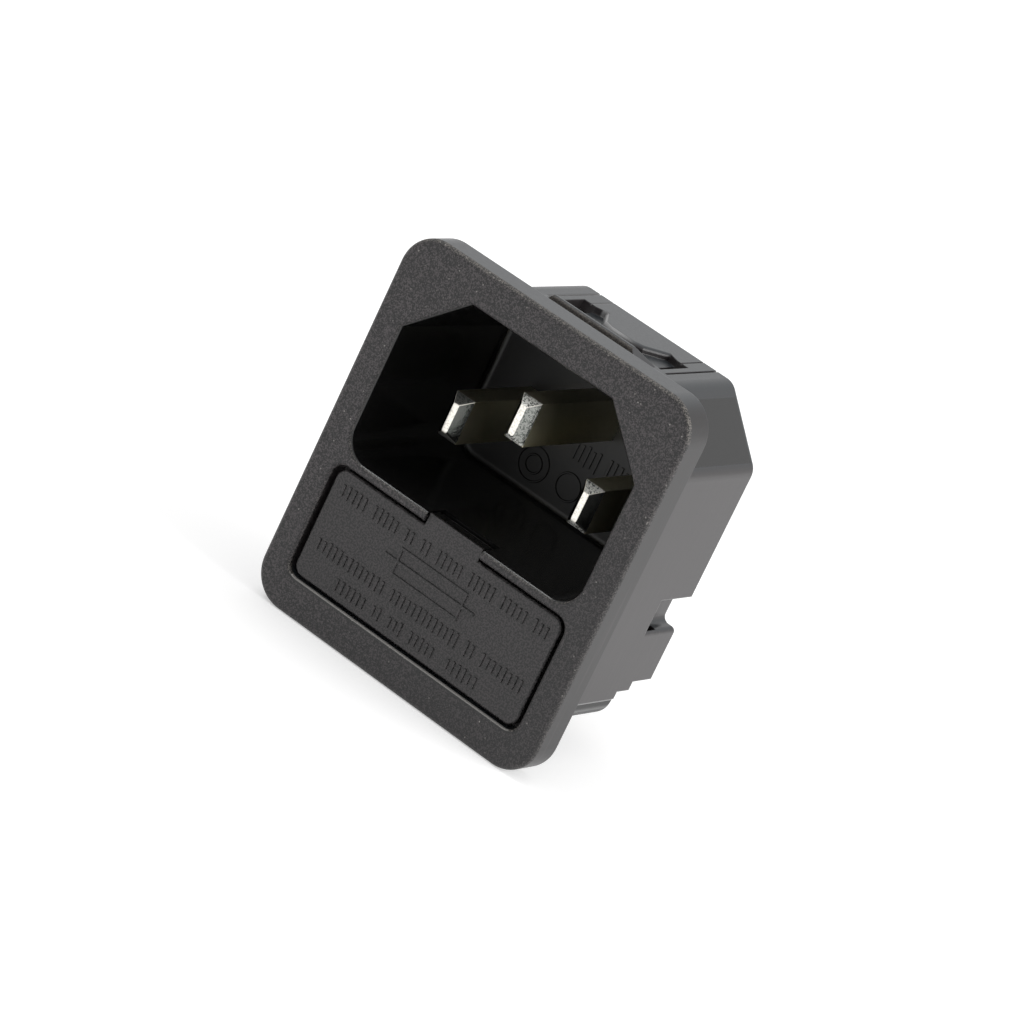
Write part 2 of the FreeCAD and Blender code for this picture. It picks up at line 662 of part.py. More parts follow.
def terminal_plate(doc, s, at_):
    """The moulded plate that carries the blades, with a barrier beside the earth tab."""
    body = new_body(doc, "terminal_plate")
    half = s.plate_width / 2
    foot = at_.cavity_bottom + s.plate_foot
    high = (half, foot + s.plate_height)
    sketch = oblong(body, "PlateOutline", "XZ_Plane", (-half, foot), high, lift=-at_.body_rear)
    pad(body, "Plate", sketch, s.plate_thickness, backward=True)
    round_edges(body, "PlateCorners", s.plate_radius, lambda edge: runs_along(edge, 1))
    x = s.barrier_spacing / 2
    low = (x - s.barrier_width / 2, foot + s.plate_radius)
    high = (x + s.barrier_width / 2, foot + s.plate_radius + s.barrier_height)
    sketch = oblong(body, "BarrierOutline", "XZ_Plane", low, high, lift=-at_.plate_rear)
    barrier = pad(body, "Barrier", sketch, s.barrier_depth, backward=True)
    mirror(body, "BarrierPair", barrier)
    for name, x, z in blade_places(at_):
        low = (x - s.blade_width / 2, z - s.blade_height / 2)
        high = (x + s.blade_width / 2, z + s.blade_height / 2)
        sketch = oblong(body, name + "HoleOutline", "XZ_Plane", low, high, lift=-at_.body_rear)
        cut(body, name + "Hole", sketch, s.plate_thickness)
    return body


def blade(doc, label, s, at_, x, z, setback):
    """A solid contact blade with a bevelled tip and a stake through its terminal."""
    body = new_body(doc, label)
    shoulder = at_.front + setback
    half = (s.blade_width / 2, s.blade_height / 2)
    flat = (s.tip_width / 2, s.tip_height / 2)
    section = oblong(body, "Section", "XZ_Plane", (-half[0], -half[1]), half, lift=-shoulder)
    pad(body, "Bar", section, at_.plate_rear - shoulder, backward=True)
    base = oblong(body, "TipBase", "XZ_Plane", (-half[0], -half[1]), half, lift=-shoulder)
    end = oblong(body, "TipEnd", "XZ_Plane", (-flat[0], -flat[1]), flat, lift=s.tip_length - shoulder)
    loft(body, "Tip", base, end)
    sketch = ring(body, "StakeOutline", "XZ_Plane", (ZERO, ZERO), s.stake_radius, lift=-at_.plate_rear)
    pad(body, "Stake", sketch, s.tab_thickness, backward=True)
    rear = at_.plate_rear + s.tab_thickness
    sketch = ring(body, "HeadOutline", "XZ_Plane", (ZERO, ZERO), s.stake_head_radius, lift=-rear)
    pad(body, "StakeHead", sketch, s.stake_head_height, backward=True)
    place(body, x, ZERO, z)
    return body


def tab(doc, label, s, x, y, z, slotted=False):
    """A quick-connect tab: a foot on its seat and a tongue bent to the rear."""
    body = new_body(doc, label)
    half = s.tab_width / 2
    foot = s.tab_foot / 2
    sheet = s.tab_thickness
    rear = sheet + s.tab_length
    corners = (
        (ZERO, -foot), (sheet, -foot), (sheet, foot - sheet),
        (rear, foot - sheet), (rear, foot), (ZERO, foot),
    )
    pad(body, "Angle", outline(body, "AngleOutline", "YZ_Plane", corners), s.tab_width, symmetric=True)
    if slotted:
        slot = (s.contact_width / 2, s.contact_sheet / 2)
        sketch = oblong(body, "JointOutline", "XZ_Plane", (-slot[0], -slot[1]), slot)
    else:
        sketch = ring(body, "JointOutline", "XZ_Plane", (ZERO, ZERO), s.stake_radius)
    cut(body, "Joint", sketch, sheet)
    centre = (ZERO, rear - s.tab_length / 3)
    cut(body, "Dimple", ring(body, "DimpleOutline", "XY_Plane", centre, s.tab_hole_radius, lift=foot), sheet)
    round_edges(body, "Nose", s.tab_nose,
                lambda edge: runs_along(edge, 2) and at(edge, 1, rear), bevel=True)
    place(body, x, y, z)
    return body


def load_strap(doc, s, at_):
    """The flat strap that feeds the line blade from the fuse."""
    body = new_body(doc, "load_strap")
    half = s.strap_width / 2
    low = (-half, at_.stem_middle - s.strap_margin)
    high = (half, at_.blade_z + s.strap_margin)
    pad(body, "Strap", oblong(body, "StrapOutline", "XZ_Plane", low, high), s.tab_thickness, backward=True)
    round_edges(body, "StrapEnds", s.strap_width / 4, lambda edge: runs_along(edge, 1))
    sketch = ring(body, "StakeOutline", "XZ_Plane", (ZERO, at_.blade_z), s.stake_radius)
    cut(body, "StakeHole", sketch, s.tab_thickness)
    slot = (s.contact_width / 2, at_.stem_top - s.contact_sheet)
    sketch = oblong(body, "StemOutline", "XZ_Plane", (-slot[0], slot[1]), (slot[0], at_.stem_top))
    cut(body, "StemHole", sketch, s.tab_thickness)
    place(body, at_.blade_x, at_.plate_rear, ZERO)
    return body


def fuse_contact(doc, label, s, at_, x, rear):
    """A sprung leaf behind the working fuse, with a stem out through the rear wall."""
    body = new_body(doc, label)
    sheet = s.contact_sheet
    wall = at_.bay_rear
    crown = at_.fuse_y + at_.fuse_radius + s.contact_gap
    toe = crown + s.contact_lift
    bend = at_.fuse_z + s.contact_bend
    crown_z = at_.fuse_z + s.contact_crown
    toe_z = at_.fuse_z - s.contact_toe
    corners = (
        (wall - sheet, at_.stem_top), (rear, at_.stem_top), (rear, at_.stem_top - sheet),
        (wall, at_.stem_top - sheet), (wall, bend), (crown + sheet, crown_z), (toe + sheet, toe_z),
        (toe, toe_z), (crown, crown_z), (wall - sheet, bend),
    )
    pad(body, "Leaf", outline(body, "LeafOutline", "YZ_Plane", corners), s.contact_width, symmetric=True)
    place(body, x, ZERO, ZERO)
    return body


# ---------------------------------------------------------------- drawer and fuses


def fuse_drawer(doc, s, at_):
    """The drawer: front plate with its finger tab, and a tray with two fuse cradles."""
    body = new_body(doc, "fuse_drawer")
    half = s.opening_width / 2 - s.front_gap_side
    low = (-half, at_.opening_bottom + s.front_gap_end)
    high = (half, at_.opening_top - s.front_gap_end)
    sketch = oblong(body, "FrontOutline", "XZ_Plane", low, high, lift=-at_.face_rear)
    pad(body, "Front", sketch, s.front_thickness)
    round_edges(body, "FrontCorners", s.front_radius, lambda edge: runs_along(edge, 1))
    face = at_.face_rear - s.front_thickness
    round_edges(body, "FrontRim", s.front_edge_bevel, lambda edge: at(edge, 1, face), bevel=True)
    finger = s.finger_width / 2
    sketch = oblong(body, "FingerOutline", "XZ_Plane", (-finger, high[1] - s.front_radius),
                    (finger, at_.cavity_bottom), lift=-at_.face_rear)
    pad(body, "Finger", sketch, s.front_thickness)
    catch = s.catch_width / 2
    tray_top = at_.bay_top - s.tray_gap
    sketch = oblong(body, "CatchOutline", "XZ_Plane", (-catch, tray_top - s.front_radius),
                    (catch, at_.cavity_bottom - s.catch_drop), lift=-at_.face_rear)
    pad(body, "Catch", sketch, s.catch_depth, backward=True)
    tray(body, s, at_, tray_top)
    return body


def tray(body, s, at_, top):
    side = at_.bay_half - s.tray_gap
    bottom = at_.bay_bottom + s.tray_gap
    end = at_.bay_rear - s.tray_end_gap
    toe = at_.bay_foot - s.tray_ramp_gap
    slope_top = at_.ramp_low + (end - toe) * s.ramp_rise / s.ramp_run
    corners = (
        (at_.face_rear, bottom), (toe, bottom), (toe, at_.ramp_low),
        (end, slope_top), (end, top), (at_.face_rear, top),
    )
    pad(body, "Tray", outline(body, "TrayOutline", "YZ_Plane", corners), side * 2, symmetric=True)
    length = s.fuse_length + s.cradle_end_gap * 2
    low = (at_.face_rear + s.catch_depth, at_.fuse_z + s.tray_wall_top)
    high = (end + s.tray_end_gap, top + s.tray_gap)
    cut(body, "TrayOpen", oblong(body, "TrayOpenOutline", "YZ_Plane", low, high), length, symmetric=True)
    radius = at_.cradle_radius
    for name, y in (("Spare", at_.spare_y), ("Working", at_.fuse_y)):
        round_ = ring(body, name + "CradleOutline", "YZ_Plane", (y, at_.fuse_z), radius)
        cut(body, name + "Cradle", round_, length, symmetric=True)
        mouth = oblong(body, name + "MouthOutline", "YZ_Plane", (y - radius, at_.fuse_z),
                       (y + radius, top + s.tray_gap))
        cut(body, name + "Mouth", mouth, length, symmetric=True)


def fuse_cap(doc, label, s, at_, y, side):
    """A drawn metal cap over one end of the glass."""
    body = new_body(doc, label)
    outer = at_.fuse_radius
    inner = outer - s.fuse_cap_sheet
    end = s.fuse_length / 2
    mouth = end - s.fuse_cap_length
    bottom = end - s.fuse_cap_sheet
    corners = ((mouth, inner), (bottom, inner), (bottom, ZERO), (end, ZERO), (end, outer), (mouth, outer))
    if side < 0:
        corners = tuple((-x, r) for x, r in corners)
    sketch = outline(body, "CapProfile", "XY_Plane", corners)
    turn = body.newObject("PartDesign::Revolution", "Cap")
    turn.Profile = sketch
    turn.ReferenceAxis = (sketch, ["H_Axis"])
    turn.Angle = 360
    doc.recompute()
    place(body, ZERO, y, at_.fuse_z)
    return body


def fuse_glass(doc, label, s, at_, y):
    """The glass tube between the caps' bottoms."""
    body = new_body(doc, label)
    outer = at_.fuse_radius - s.fuse_cap_sheet
    length = s.fuse_length - s.fuse_cap_sheet * 2
    pad(body, "Tube", ring(body, "TubeOutline", "YZ_Plane", (ZERO, ZERO), outer), length, symmetric=True)
    sketch = ring(body, "BoreOutline", "YZ_Plane", (ZERO, ZERO), s.fuse_bore / 2)
    cut(body, "Bore", sketch, length, symmetric=True)
    place(body, ZERO, y, at_.fuse_z)
    return body


def fuse_wire(doc, label, s, at_, y):
    """The element from cap to cap."""
    body = new_body(doc, label)
    length = s.fuse_length - s.fuse_cap_sheet * 2
    sketch = ring(body, "WireOutline", "YZ_Plane", (ZERO, ZERO), s.fuse_wire / 2)
    pad(body, "Wire", sketch, length, symmetric=True)
    place(body, ZERO, y, at_.fuse_z)
    return body


def fuse(doc, name, s, at_, y):
    return [
        fuse_glass(doc, name + "_glass", s, at_, y),
        fuse_cap(doc, name + "_cap_left", s, at_, y, -1),
        fuse_cap(doc, name + "_cap_right", s, at_, y, 1),
        fuse_wire(doc, name + "_element", s, at_, y),
    ]


# ---------------------------------------------------------------- assembly


def build(doc):
    s = Sheet(doc)
    at_ = Layout(s)
    x, rear = at_.blade_x, at_.plate_rear
    return [
        housing(doc, s, at_),
        terminal_plate(doc, s, at_),
        blade(doc, "line_blade", s, at_, x, at_.blade_z, s.blade_setback),
        blade(doc, "neutral_blade", s, at_, -x, at_.blade_z, s.blade_setback),
        blade(doc, "earth_blade", s, at_, ZERO, at_.earth_z, s.earth_setback),
        tab(doc, "neutral_tab", s, -x, rear, at_.blade_z),
        tab(doc, "earth_tab", s, ZERO, rear, at_.earth_z),
        tab(doc, "line_tab", s, -x, at_.body_rear, at_.stem_middle, slotted=True),
        fuse_contact(doc, "supply_contact", s, at_, -x, at_.body_rear + s.tab_thickness),
        fuse_contact(doc, "load_contact", s, at_, x, rear + s.tab_thickness),
        load_strap(doc, s, at_),
        fuse_drawer(doc, s, at_),
    ] + fuse(doc, "working_fuse", s, at_, at_.fuse_y) + fuse(doc, "spare_fuse", s, at_, at_.spare_y)


def check(doc, pieces):
    """Stop on anything that failed to build."""
    for thing in doc.Objects:
        if "Invalid" in thing.State or "Error" in thing.State:
            raise RuntimeError(thing.Name + " did not build: " + str(thing.State))
    for piece in pieces:
        shape = piece.Shape
        if shape.isNull() or not shape.isValid() or len(shape.Solids) != 1:
            raise RuntimeError(piece.Label + " is not one sound solid")


def main():
    doc = FreeCAD.newDocument("PanelInlet")
    pieces = build(doc)
    doc.recompute()
    check(doc, pieces)
    os.makedirs("parts", exist_ok=True)
    for piece in pieces:
        piece.Shape.exportStep("parts/" + piece.Label + ".step")
        box = piece.Shape.BoundBox
        ends = (box.XMin, box.XMax, box.YMin, box.YMax, box.ZMin, box.ZMax)
        print(piece.Label, "%.2f..%.2f %.2f..%.2f %.2f..%.2f" % ends)


main()
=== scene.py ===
"""Looks for a snap-in appliance inlet with a fuse drawer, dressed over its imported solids."""

from __future__ import annotations

import logging
import math
from dataclasses import dataclass, field
from enum import Enum
from functools import partial, reduce

import bmesh
import bpy
from bmesh.types import BMesh, BMVert
from bpy.types import ID, Material, Mesh, Node, NodeSocket as Socket, NodeTree, Object
from mathutils import Matrix, Vector

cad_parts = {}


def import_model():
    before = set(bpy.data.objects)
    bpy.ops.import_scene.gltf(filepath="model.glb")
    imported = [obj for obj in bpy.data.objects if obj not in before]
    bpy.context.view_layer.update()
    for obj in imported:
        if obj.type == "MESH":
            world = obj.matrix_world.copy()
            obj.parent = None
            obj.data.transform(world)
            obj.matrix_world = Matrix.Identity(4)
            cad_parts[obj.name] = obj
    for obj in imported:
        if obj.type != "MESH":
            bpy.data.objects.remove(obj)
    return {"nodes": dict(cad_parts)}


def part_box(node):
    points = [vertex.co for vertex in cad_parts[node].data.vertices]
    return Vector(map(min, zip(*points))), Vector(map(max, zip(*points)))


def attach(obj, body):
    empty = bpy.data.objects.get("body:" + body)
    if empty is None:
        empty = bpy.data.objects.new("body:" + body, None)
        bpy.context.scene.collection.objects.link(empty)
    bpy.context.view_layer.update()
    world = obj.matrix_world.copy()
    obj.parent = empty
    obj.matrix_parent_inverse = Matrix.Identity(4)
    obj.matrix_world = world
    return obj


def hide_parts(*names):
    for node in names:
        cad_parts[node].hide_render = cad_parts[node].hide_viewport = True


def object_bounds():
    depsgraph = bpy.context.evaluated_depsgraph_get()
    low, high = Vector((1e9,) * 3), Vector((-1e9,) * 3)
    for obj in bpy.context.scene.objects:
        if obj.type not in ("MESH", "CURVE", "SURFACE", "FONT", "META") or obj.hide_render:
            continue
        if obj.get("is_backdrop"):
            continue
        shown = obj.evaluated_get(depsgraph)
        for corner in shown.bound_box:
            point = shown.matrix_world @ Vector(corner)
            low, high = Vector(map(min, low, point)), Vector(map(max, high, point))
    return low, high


LOG = logging.getLogger("panel_inlet")
MM = 0.001
FAR = 1.0  # beyond every piece

Rings = list[list[BMVert]]
Feeds = dict[str | int, object]
Colour = tuple[float, float, float, float]
Span = tuple[float, float]
Spot = tuple[float, float]
Place = tuple[float, float, float]


def mm(low: float, high: float) -> Span:
    """A span given in millimetres."""
    return low * MM, high * MM


class Body(Enum):
    """The two bodies that pieces ride on."""

    INLET = "inlet"
    DRAWER = "drawer"


class Slot(Enum):
    """The record's material slots of the new pieces' finishes."""

    HOUSING = "moulding_black"
    DRAWER = "drawer_black"
    NICKEL = "nickel"


# ---- shaders


def add_node(
    tree: NodeTree, kind: str, feeds: Feeds | None = None, **settings: object,
) -> Node:
    """Add one node to a tree.

    Args:
        tree: the tree that it joins.
        kind: its type.
        feeds: a plain value or an earlier socket for each of its inputs, by name or place.
        settings: its own settings.

    Returns:
        The node.
    """
    node = tree.nodes.new(kind)
    for key, value in settings.items():
        setattr(node, key, value)
    for key, value in (feeds or {}).items():
        if isinstance(value, Socket):
            tree.links.new(value, node.inputs[key])
        else:
            node.inputs[key].default_value = value
    return node


class Shader:
    """One procedural material, laid out node by node."""

    def __init__(self, name: str) -> None:
        """Start an empty material.

        Args:
            name: the material's name.
        """
        self.material = bpy.data.materials.new(name)
        self.material.use_nodes = True
        self.tree = self.material.node_tree
        self.tree.nodes.clear()
        self.surface = self.add("BsdfPrincipled")
        self.output = self.add("OutputMaterial", {"Surface": self.surface.outputs["BSDF"]})
        self.place = self.add("TexCoord").outputs["Object"]

    def add(self, kind: str, feeds: Feeds | None = None, **settings: object) -> Node:
        """Add one shader node, by the rest of its type's name."""
        return add_node(self.tree, "ShaderNode" + kind, feeds, **settings)

    def set(self, **values: float | Colour) -> None:
        """Set the surface's own sockets, named with underscores for spaces."""
        for key, value in values.items():
            self.surface.inputs[key.replace("_", " ")].default_value = value

    def link(self, source: Socket, socket: str) -> None:
        """Feed one of the surface's sockets."""
        self.tree.links.new(source, self.surface.inputs[socket])

    def math(self, kind: str, first: object, second: object = 0.0) -> Socket:
        """One arithmetic step on two values or sockets."""
        return self.add("Math", {0: first, 1: second}, operation=kind).outputs[0]

    def both(self, *masks: object) -> Socket:
        """The overlap of several masks."""
        return reduce(partial(self.math, "MULTIPLY"), masks)

    def either(self, first: object, second: object) -> Socket:
        """The area that one or both of two masks cover."""
        return self.math("MAXIMUM", first, second)

    def without(self, mask: object) -> Socket:
        """All that a mask leaves free."""
        return self.math("SUBTRACT", 1.0, mask)

    def weighed(self, first: object, share: float, second: object, rest: float) -> Socket:
        """The sum of two values, each by its own share."""
        return self.math("ADD", self.math("MULTIPLY", first, share), self.math("MULTIPLY", second, rest))

    def parts(self, vector: Socket) -> tuple[Socket, ...]:
        """The x, y and z of a vector."""
        return tuple(self.add("SeparateXYZ", {0: vector}).outputs)

    def shape(self) -> Socket:
        """The piece's own smooth normal."""
        return self.add("NewGeometry").outputs["Normal"]

    def ramp(
        self, value: object, low: float, high: float, start: float = 0.0, end: float = 1.0,
    ) -> Socket:
        """A smooth step from start to end, while a value goes from low to high."""
        feeds = {"Value": value, "From Min": low, "From Max": high, "To Min": start, "To Max": end}
        return self.add("MapRange", feeds, interpolation_type="SMOOTHSTEP").outputs[0]

    def fall(self, value: object, low: float, high: float) -> Socket:
        """A smooth step down from 1 to 0."""
        return self.ramp(value, low, high, 1.0, 0.0)

    def band(self, value: object, low: float, high: float, soft: float = 0.05 * MM) -> Socket:
        """A mask that is 1 between two places and 0 outside them."""
        return self.both(self.ramp(value, low - soft, low + soft), self.fall(value, high - soft, high + soft))

    def stretch(self, factors: Place) -> Socket:
        """The place on the piece, scaled along each axis."""
        return self.add("Mapping", {"Vector": self.place, "Scale": factors}).outputs[0]

    def noise(
        self, size: float, detail: float = 2.0, rough: float = 0.5, place: Socket | None = None,
    ) -> Socket:
        """Cloudy noise from 0 to 1, by the size of its blotches and its octaves' count and weight."""
        feeds = {"Vector": place or self.place, "Scale": 1.0 / size, "Detail": detail, "Roughness": rough}
        return self.add("TexNoise", feeds).outputs["Fac"]

    def cells(self, size: float) -> tuple[Socket, ...]:
        """Scattered cells.

        Args:
            size: the size of a cell in metres.

        Returns:
            The distance from a cell's middle, and two random numbers of that cell.
        """
        node = self.add("TexVoronoi", {"Vector": self.place, "Scale": 1.0 / size})
        chance = self.add("SeparateColor", {0: node.outputs["Color"]}).outputs
        return node.outputs["Distance"], chance[0], chance[1]

    def mix(self, factor: object, first: object, second: object) -> Socket:
        """A blend of two numbers by a factor from 0 to 1."""
        return self.add("Mix", {0: factor, 2: first, 3: second}, data_type="FLOAT").outputs[0]

    def turned(self, factor: object, first: object, second: object) -> Socket:
        """A blend of two normals by a factor from 0 to 1."""
        return self.add("Mix", {0: factor, 4: first, 5: second}, data_type="VECTOR").outputs[1]

    def tint(self, factor: object, first: object, second: object) -> Socket:
        """A blend of two colours by a factor from 0 to 1."""
        return self.add("Mix", {0: factor, 6: first, 7: second}, data_type="RGBA").outputs[2]

    def soft_edge(self, radius: float, samples: int = 6) -> Socket:
        """A normal that rolls over sharp edges, as far as a radius in metres."""
        return self.add("Bevel", {"Radius": radius}, samples=samples).outputs[0]

    def bump(
        self, height: object, depth: float, strength: object = 1.0, under: Socket | None = None,
    ) -> Socket:
        """Relief from a height.

        Args:
            height: the height's socket, from 0 to 1.
            depth: the relief's depth in metres.
            strength: how much of it shows.
            under: an earlier relief that this one lies on.

        Returns:
            The normal's socket.
        """
        feeds = {"Height": height, "Distance": depth, "Strength": strength}
        if under is not None:
            feeds["Normal"] = under
        return self.add("Bump", feeds).outputs[0]


def grey(level: float, warmth: float = 0.0) -> Colour:
    """A grey colour, a little warmer or cooler."""
    return (level * (1 + warmth), level, level * (1 - warmth), 1.0)


def rose(level: float) -> Colour:
    """A grey colour with the faintest reddish cast."""
    return (level * 1.1, level * 0.96, level * 1.0, 1.0)


def dimmed(colour: Colour, red: float, green: float, blue: float) -> Colour:
    """A colour with each of its parts cut to a share."""
    return (colour[0] * red, colour[1] * green, colour[2] * blue, 1.0)


# ---- finishes


@dataclass(frozen=True)
class HousingPlaces:
    """Where the moulding's finish and its painted light and shade change, in metres, and which way its
    surface faces there.

    A name with front counts from the flange's face. A name with facing or tilt is a part of the normal,
    from -1 to 1: forwards is negative, upwards is positive.
    """

    front_face: Span = mm(0.4, 0.55)
    front_edge: Span = mm(0.02, 0.14)
    front_socket: Span = mm(0.12, 0.22)
    front_deep: Span = mm(0.5, 1.0)
    front_lip: Span = mm(0.11, 0.15)
    socket_across: Span = (-FAR, 12.75 * MM)
    socket_up: Span = mm(-2.9, 14.4)
    socket_along: Span = (-FAR, 13.9 * MM)
    floor_along: Span = mm(12.9, 13.0)
    collar_along: Span = mm(-0.1, 0.0)
    collar_across: Span = mm(12.5, 14.2)
    inner_along: Span = mm(-0.2, 0.3)
    wall_across: Span = mm(12.9, 13.0)
    skirt_up: Span = mm(-11.5, -11.42)
    skirt_along: Span = mm(0.0, 0.1)
    ledge_up: Span = mm(-11.45, -11.33)
    ledge_along: Span = mm(0.5, 1.2)
    lower_along: Span = mm(0.3, 0.6)
    lower_across: Span = mm(12.8, 13.0)
    lip_up: Span = mm(-14.15, -13.82)
    hook_up: Span = mm(15.34, 15.39)
    hook_along: Span = mm(1.0, 3.3)
    nose_along: Span = mm(7.9, 8.1)
    nose_up: Span = mm(14.6, 14.75)
    nose_beside: Span = mm(3.7, 3.9)
    nose_across: Span = mm(-0.5, 1.8)
    groove_across: Span = mm(-6.45, -6.15)
    groove_along: Span = mm(0.1, 0.3)
    groove_up: Span = mm(14.9, 15.28)
    crease_across: Span = mm(-4.95, -4.75)
    crease_along: Span = mm(10.7, 10.8)
    streak_across: Span = mm(12.6, 13.0)
    streak_up: Span = mm(-2.0, 6.0)
    shade_span: Span = mm(-4.0, 16.0)
    floor_facing: Span = (-0.7, -0.4)
    highlight_facing: Span = (-0.1, 0.45)
    lip_facing: Span = (0.2, 0.5)
    lower_facing: Span = (-0.6, -0.3)
    lower_tilt: Span = (-0.5, -0.15)
    hook_facing: Span = (-0.75, -0.45)
    nose_facing: Span = (-0.3, -0.1)
    top_facing: Span = (0.3, 0.9)
    roll: float = 0.14 * MM
    roll_rays: int = 8
    crisp: float = 0.02 * MM
    hard: float = 0.03 * MM


class HousingZones:
    """Masks for the parts of the moulding that are finished differently, and for where light and shade are
    painted on it.
    """

    def __init__(self, s: Shader, front: float, at: HousingPlaces) -> None:
        """Lay out the masks.

        Args:
            s: the material that they belong to.
            front: the y of the flange's face.
            at: where the finish changes.
        """
        self.s, self.front, self.at = s, front, at
        self.x, self.y, self.z = s.parts(s.place)
        self.beside = s.math("ABSOLUTE", self.x)
        self.ahead, self.up = s.parts(s.shape())[1:]
        self._socket()
        self._flange()
        self._body()
        self._latch()

    def _behind(self, span: Span) -> Span:
        """A span of y that counts from the flange's face."""
        return self.front + span[0], self.front + span[1]

    def _socket(self) -> None:
        """The socket's polished walls and its finer floor."""
        s, at = self.s, self.at
        inside = s.both(
            s.band(self.beside, *at.socket_across), s.band(self.z, *at.socket_up),
            s.band(self.y, *at.socket_along),
        )
        self.socket = s.both(inside, s.ramp(self.y, *self._behind(at.front_socket)))
        self.deep = s.both(inside, s.ramp(self.y, *self._behind(at.front_deep)))
        self.floor = s.both(
            self.socket, s.ramp(self.y, *at.floor_along), s.fall(self.ahead, *at.floor_facing),
        )

    def _flange(self) -> None:
        """The textured face, the painted highlight along its upper edges, the painted highlight and painted
        shadow on its lower lip, and the step behind it.
        """
        s, at = self.s, self.at
        face = s.fall(self.y, *self._behind(at.front_face))
        self.face = s.both(face, s.without(self.socket))
        # Painted highlight: the face's upper edges are paler, most where they face up.
        self.edge_highlight = s.both(
            self.face, s.ramp(self.y, *self._behind(at.front_edge)), s.ramp(self.up, *at.highlight_facing, 0.12),
        )
        # Painted highlight on the lower lip's rounded edge, with a thin band of painted shadow at its front.
        lip = s.both(self.face, s.band(self.z, *at.lip_up, at.crisp), s.ramp(self.up, *at.lip_facing))
        self.shaded_lip = s.both(lip, s.fall(self.y, *self._behind(at.front_lip)))
        self.highlit_lip = s.math("SUBTRACT", lip, self.shaded_lip)
        self.collar = s.both(s.fall(self.y, *at.collar_along), s.ramp(self.beside, *at.collar_across))
        self.inner = s.both(s.band(self.y, *at.inner_along, at.crisp), s.ramp(self.beside, *at.wall_across))

    def _body(self) -> None:
        """The body's underside, the normal rolled over sharp edges, and the painted highlight along the ledge
        and the lower edges.
        """
        s, at = self.s, self.at
        self.skirt = s.both(s.fall(self.z, *at.skirt_up), s.ramp(self.y, *at.skirt_along))
        ledge_highlight = s.both(s.band(self.z, *at.ledge_up, at.hard), s.ramp(self.y, *at.ledge_along))
        rolled_edge = s.soft_edge(at.roll, at.roll_rays)
        self.rolled = s.turned(s.either(self.inner, self.deep), rolled_edge, s.shape())
        tilt = s.parts(self.rolled)[2]
        # Painted highlight on edges that face down, where they would catch the floor's light.
        under = s.both(
            s.fall(tilt, *at.lower_tilt), s.ramp(self.up, *at.lower_facing),
            s.ramp(self.y, *at.lower_along), s.ramp(self.beside, *at.lower_across),
        )
        self.ledge_highlight = s.either(ledge_highlight, under)

    def _latch(self) -> None:
        """The catch's textured front, lightened with painted light, the nose's rounded rim with its painted
        highlight, and the grooves beside them, filled in with painted light.
        """
        s, at = self.s, self.at
        self.hook = s.both(
            s.ramp(self.z, *at.hook_up), s.fall(self.ahead, *at.hook_facing),
            s.band(self.y, *at.hook_along),
        )
        # The nose's rounded rim, which gets a painted highlight.
        self.nose = s.both(
            s.ramp(self.y, *at.nose_along), s.ramp(self.z, *at.nose_up),
            s.fall(self.ahead, *at.nose_facing),
            s.fall(self.beside, *at.nose_beside), s.fall(self.x, *at.nose_across),
        )
        # The grooves, whose shade is filled in with painted light.
        crease = s.both(s.band(self.x, *at.crease_across), s.ramp(self.y, *at.crease_along))
        self.cut = s.both(
            s.either(s.band(self.x, *at.groove_across), crease),
            s.band(self.z, *at.groove_up), s.ramp(self.y, *at.groove_along),
        )


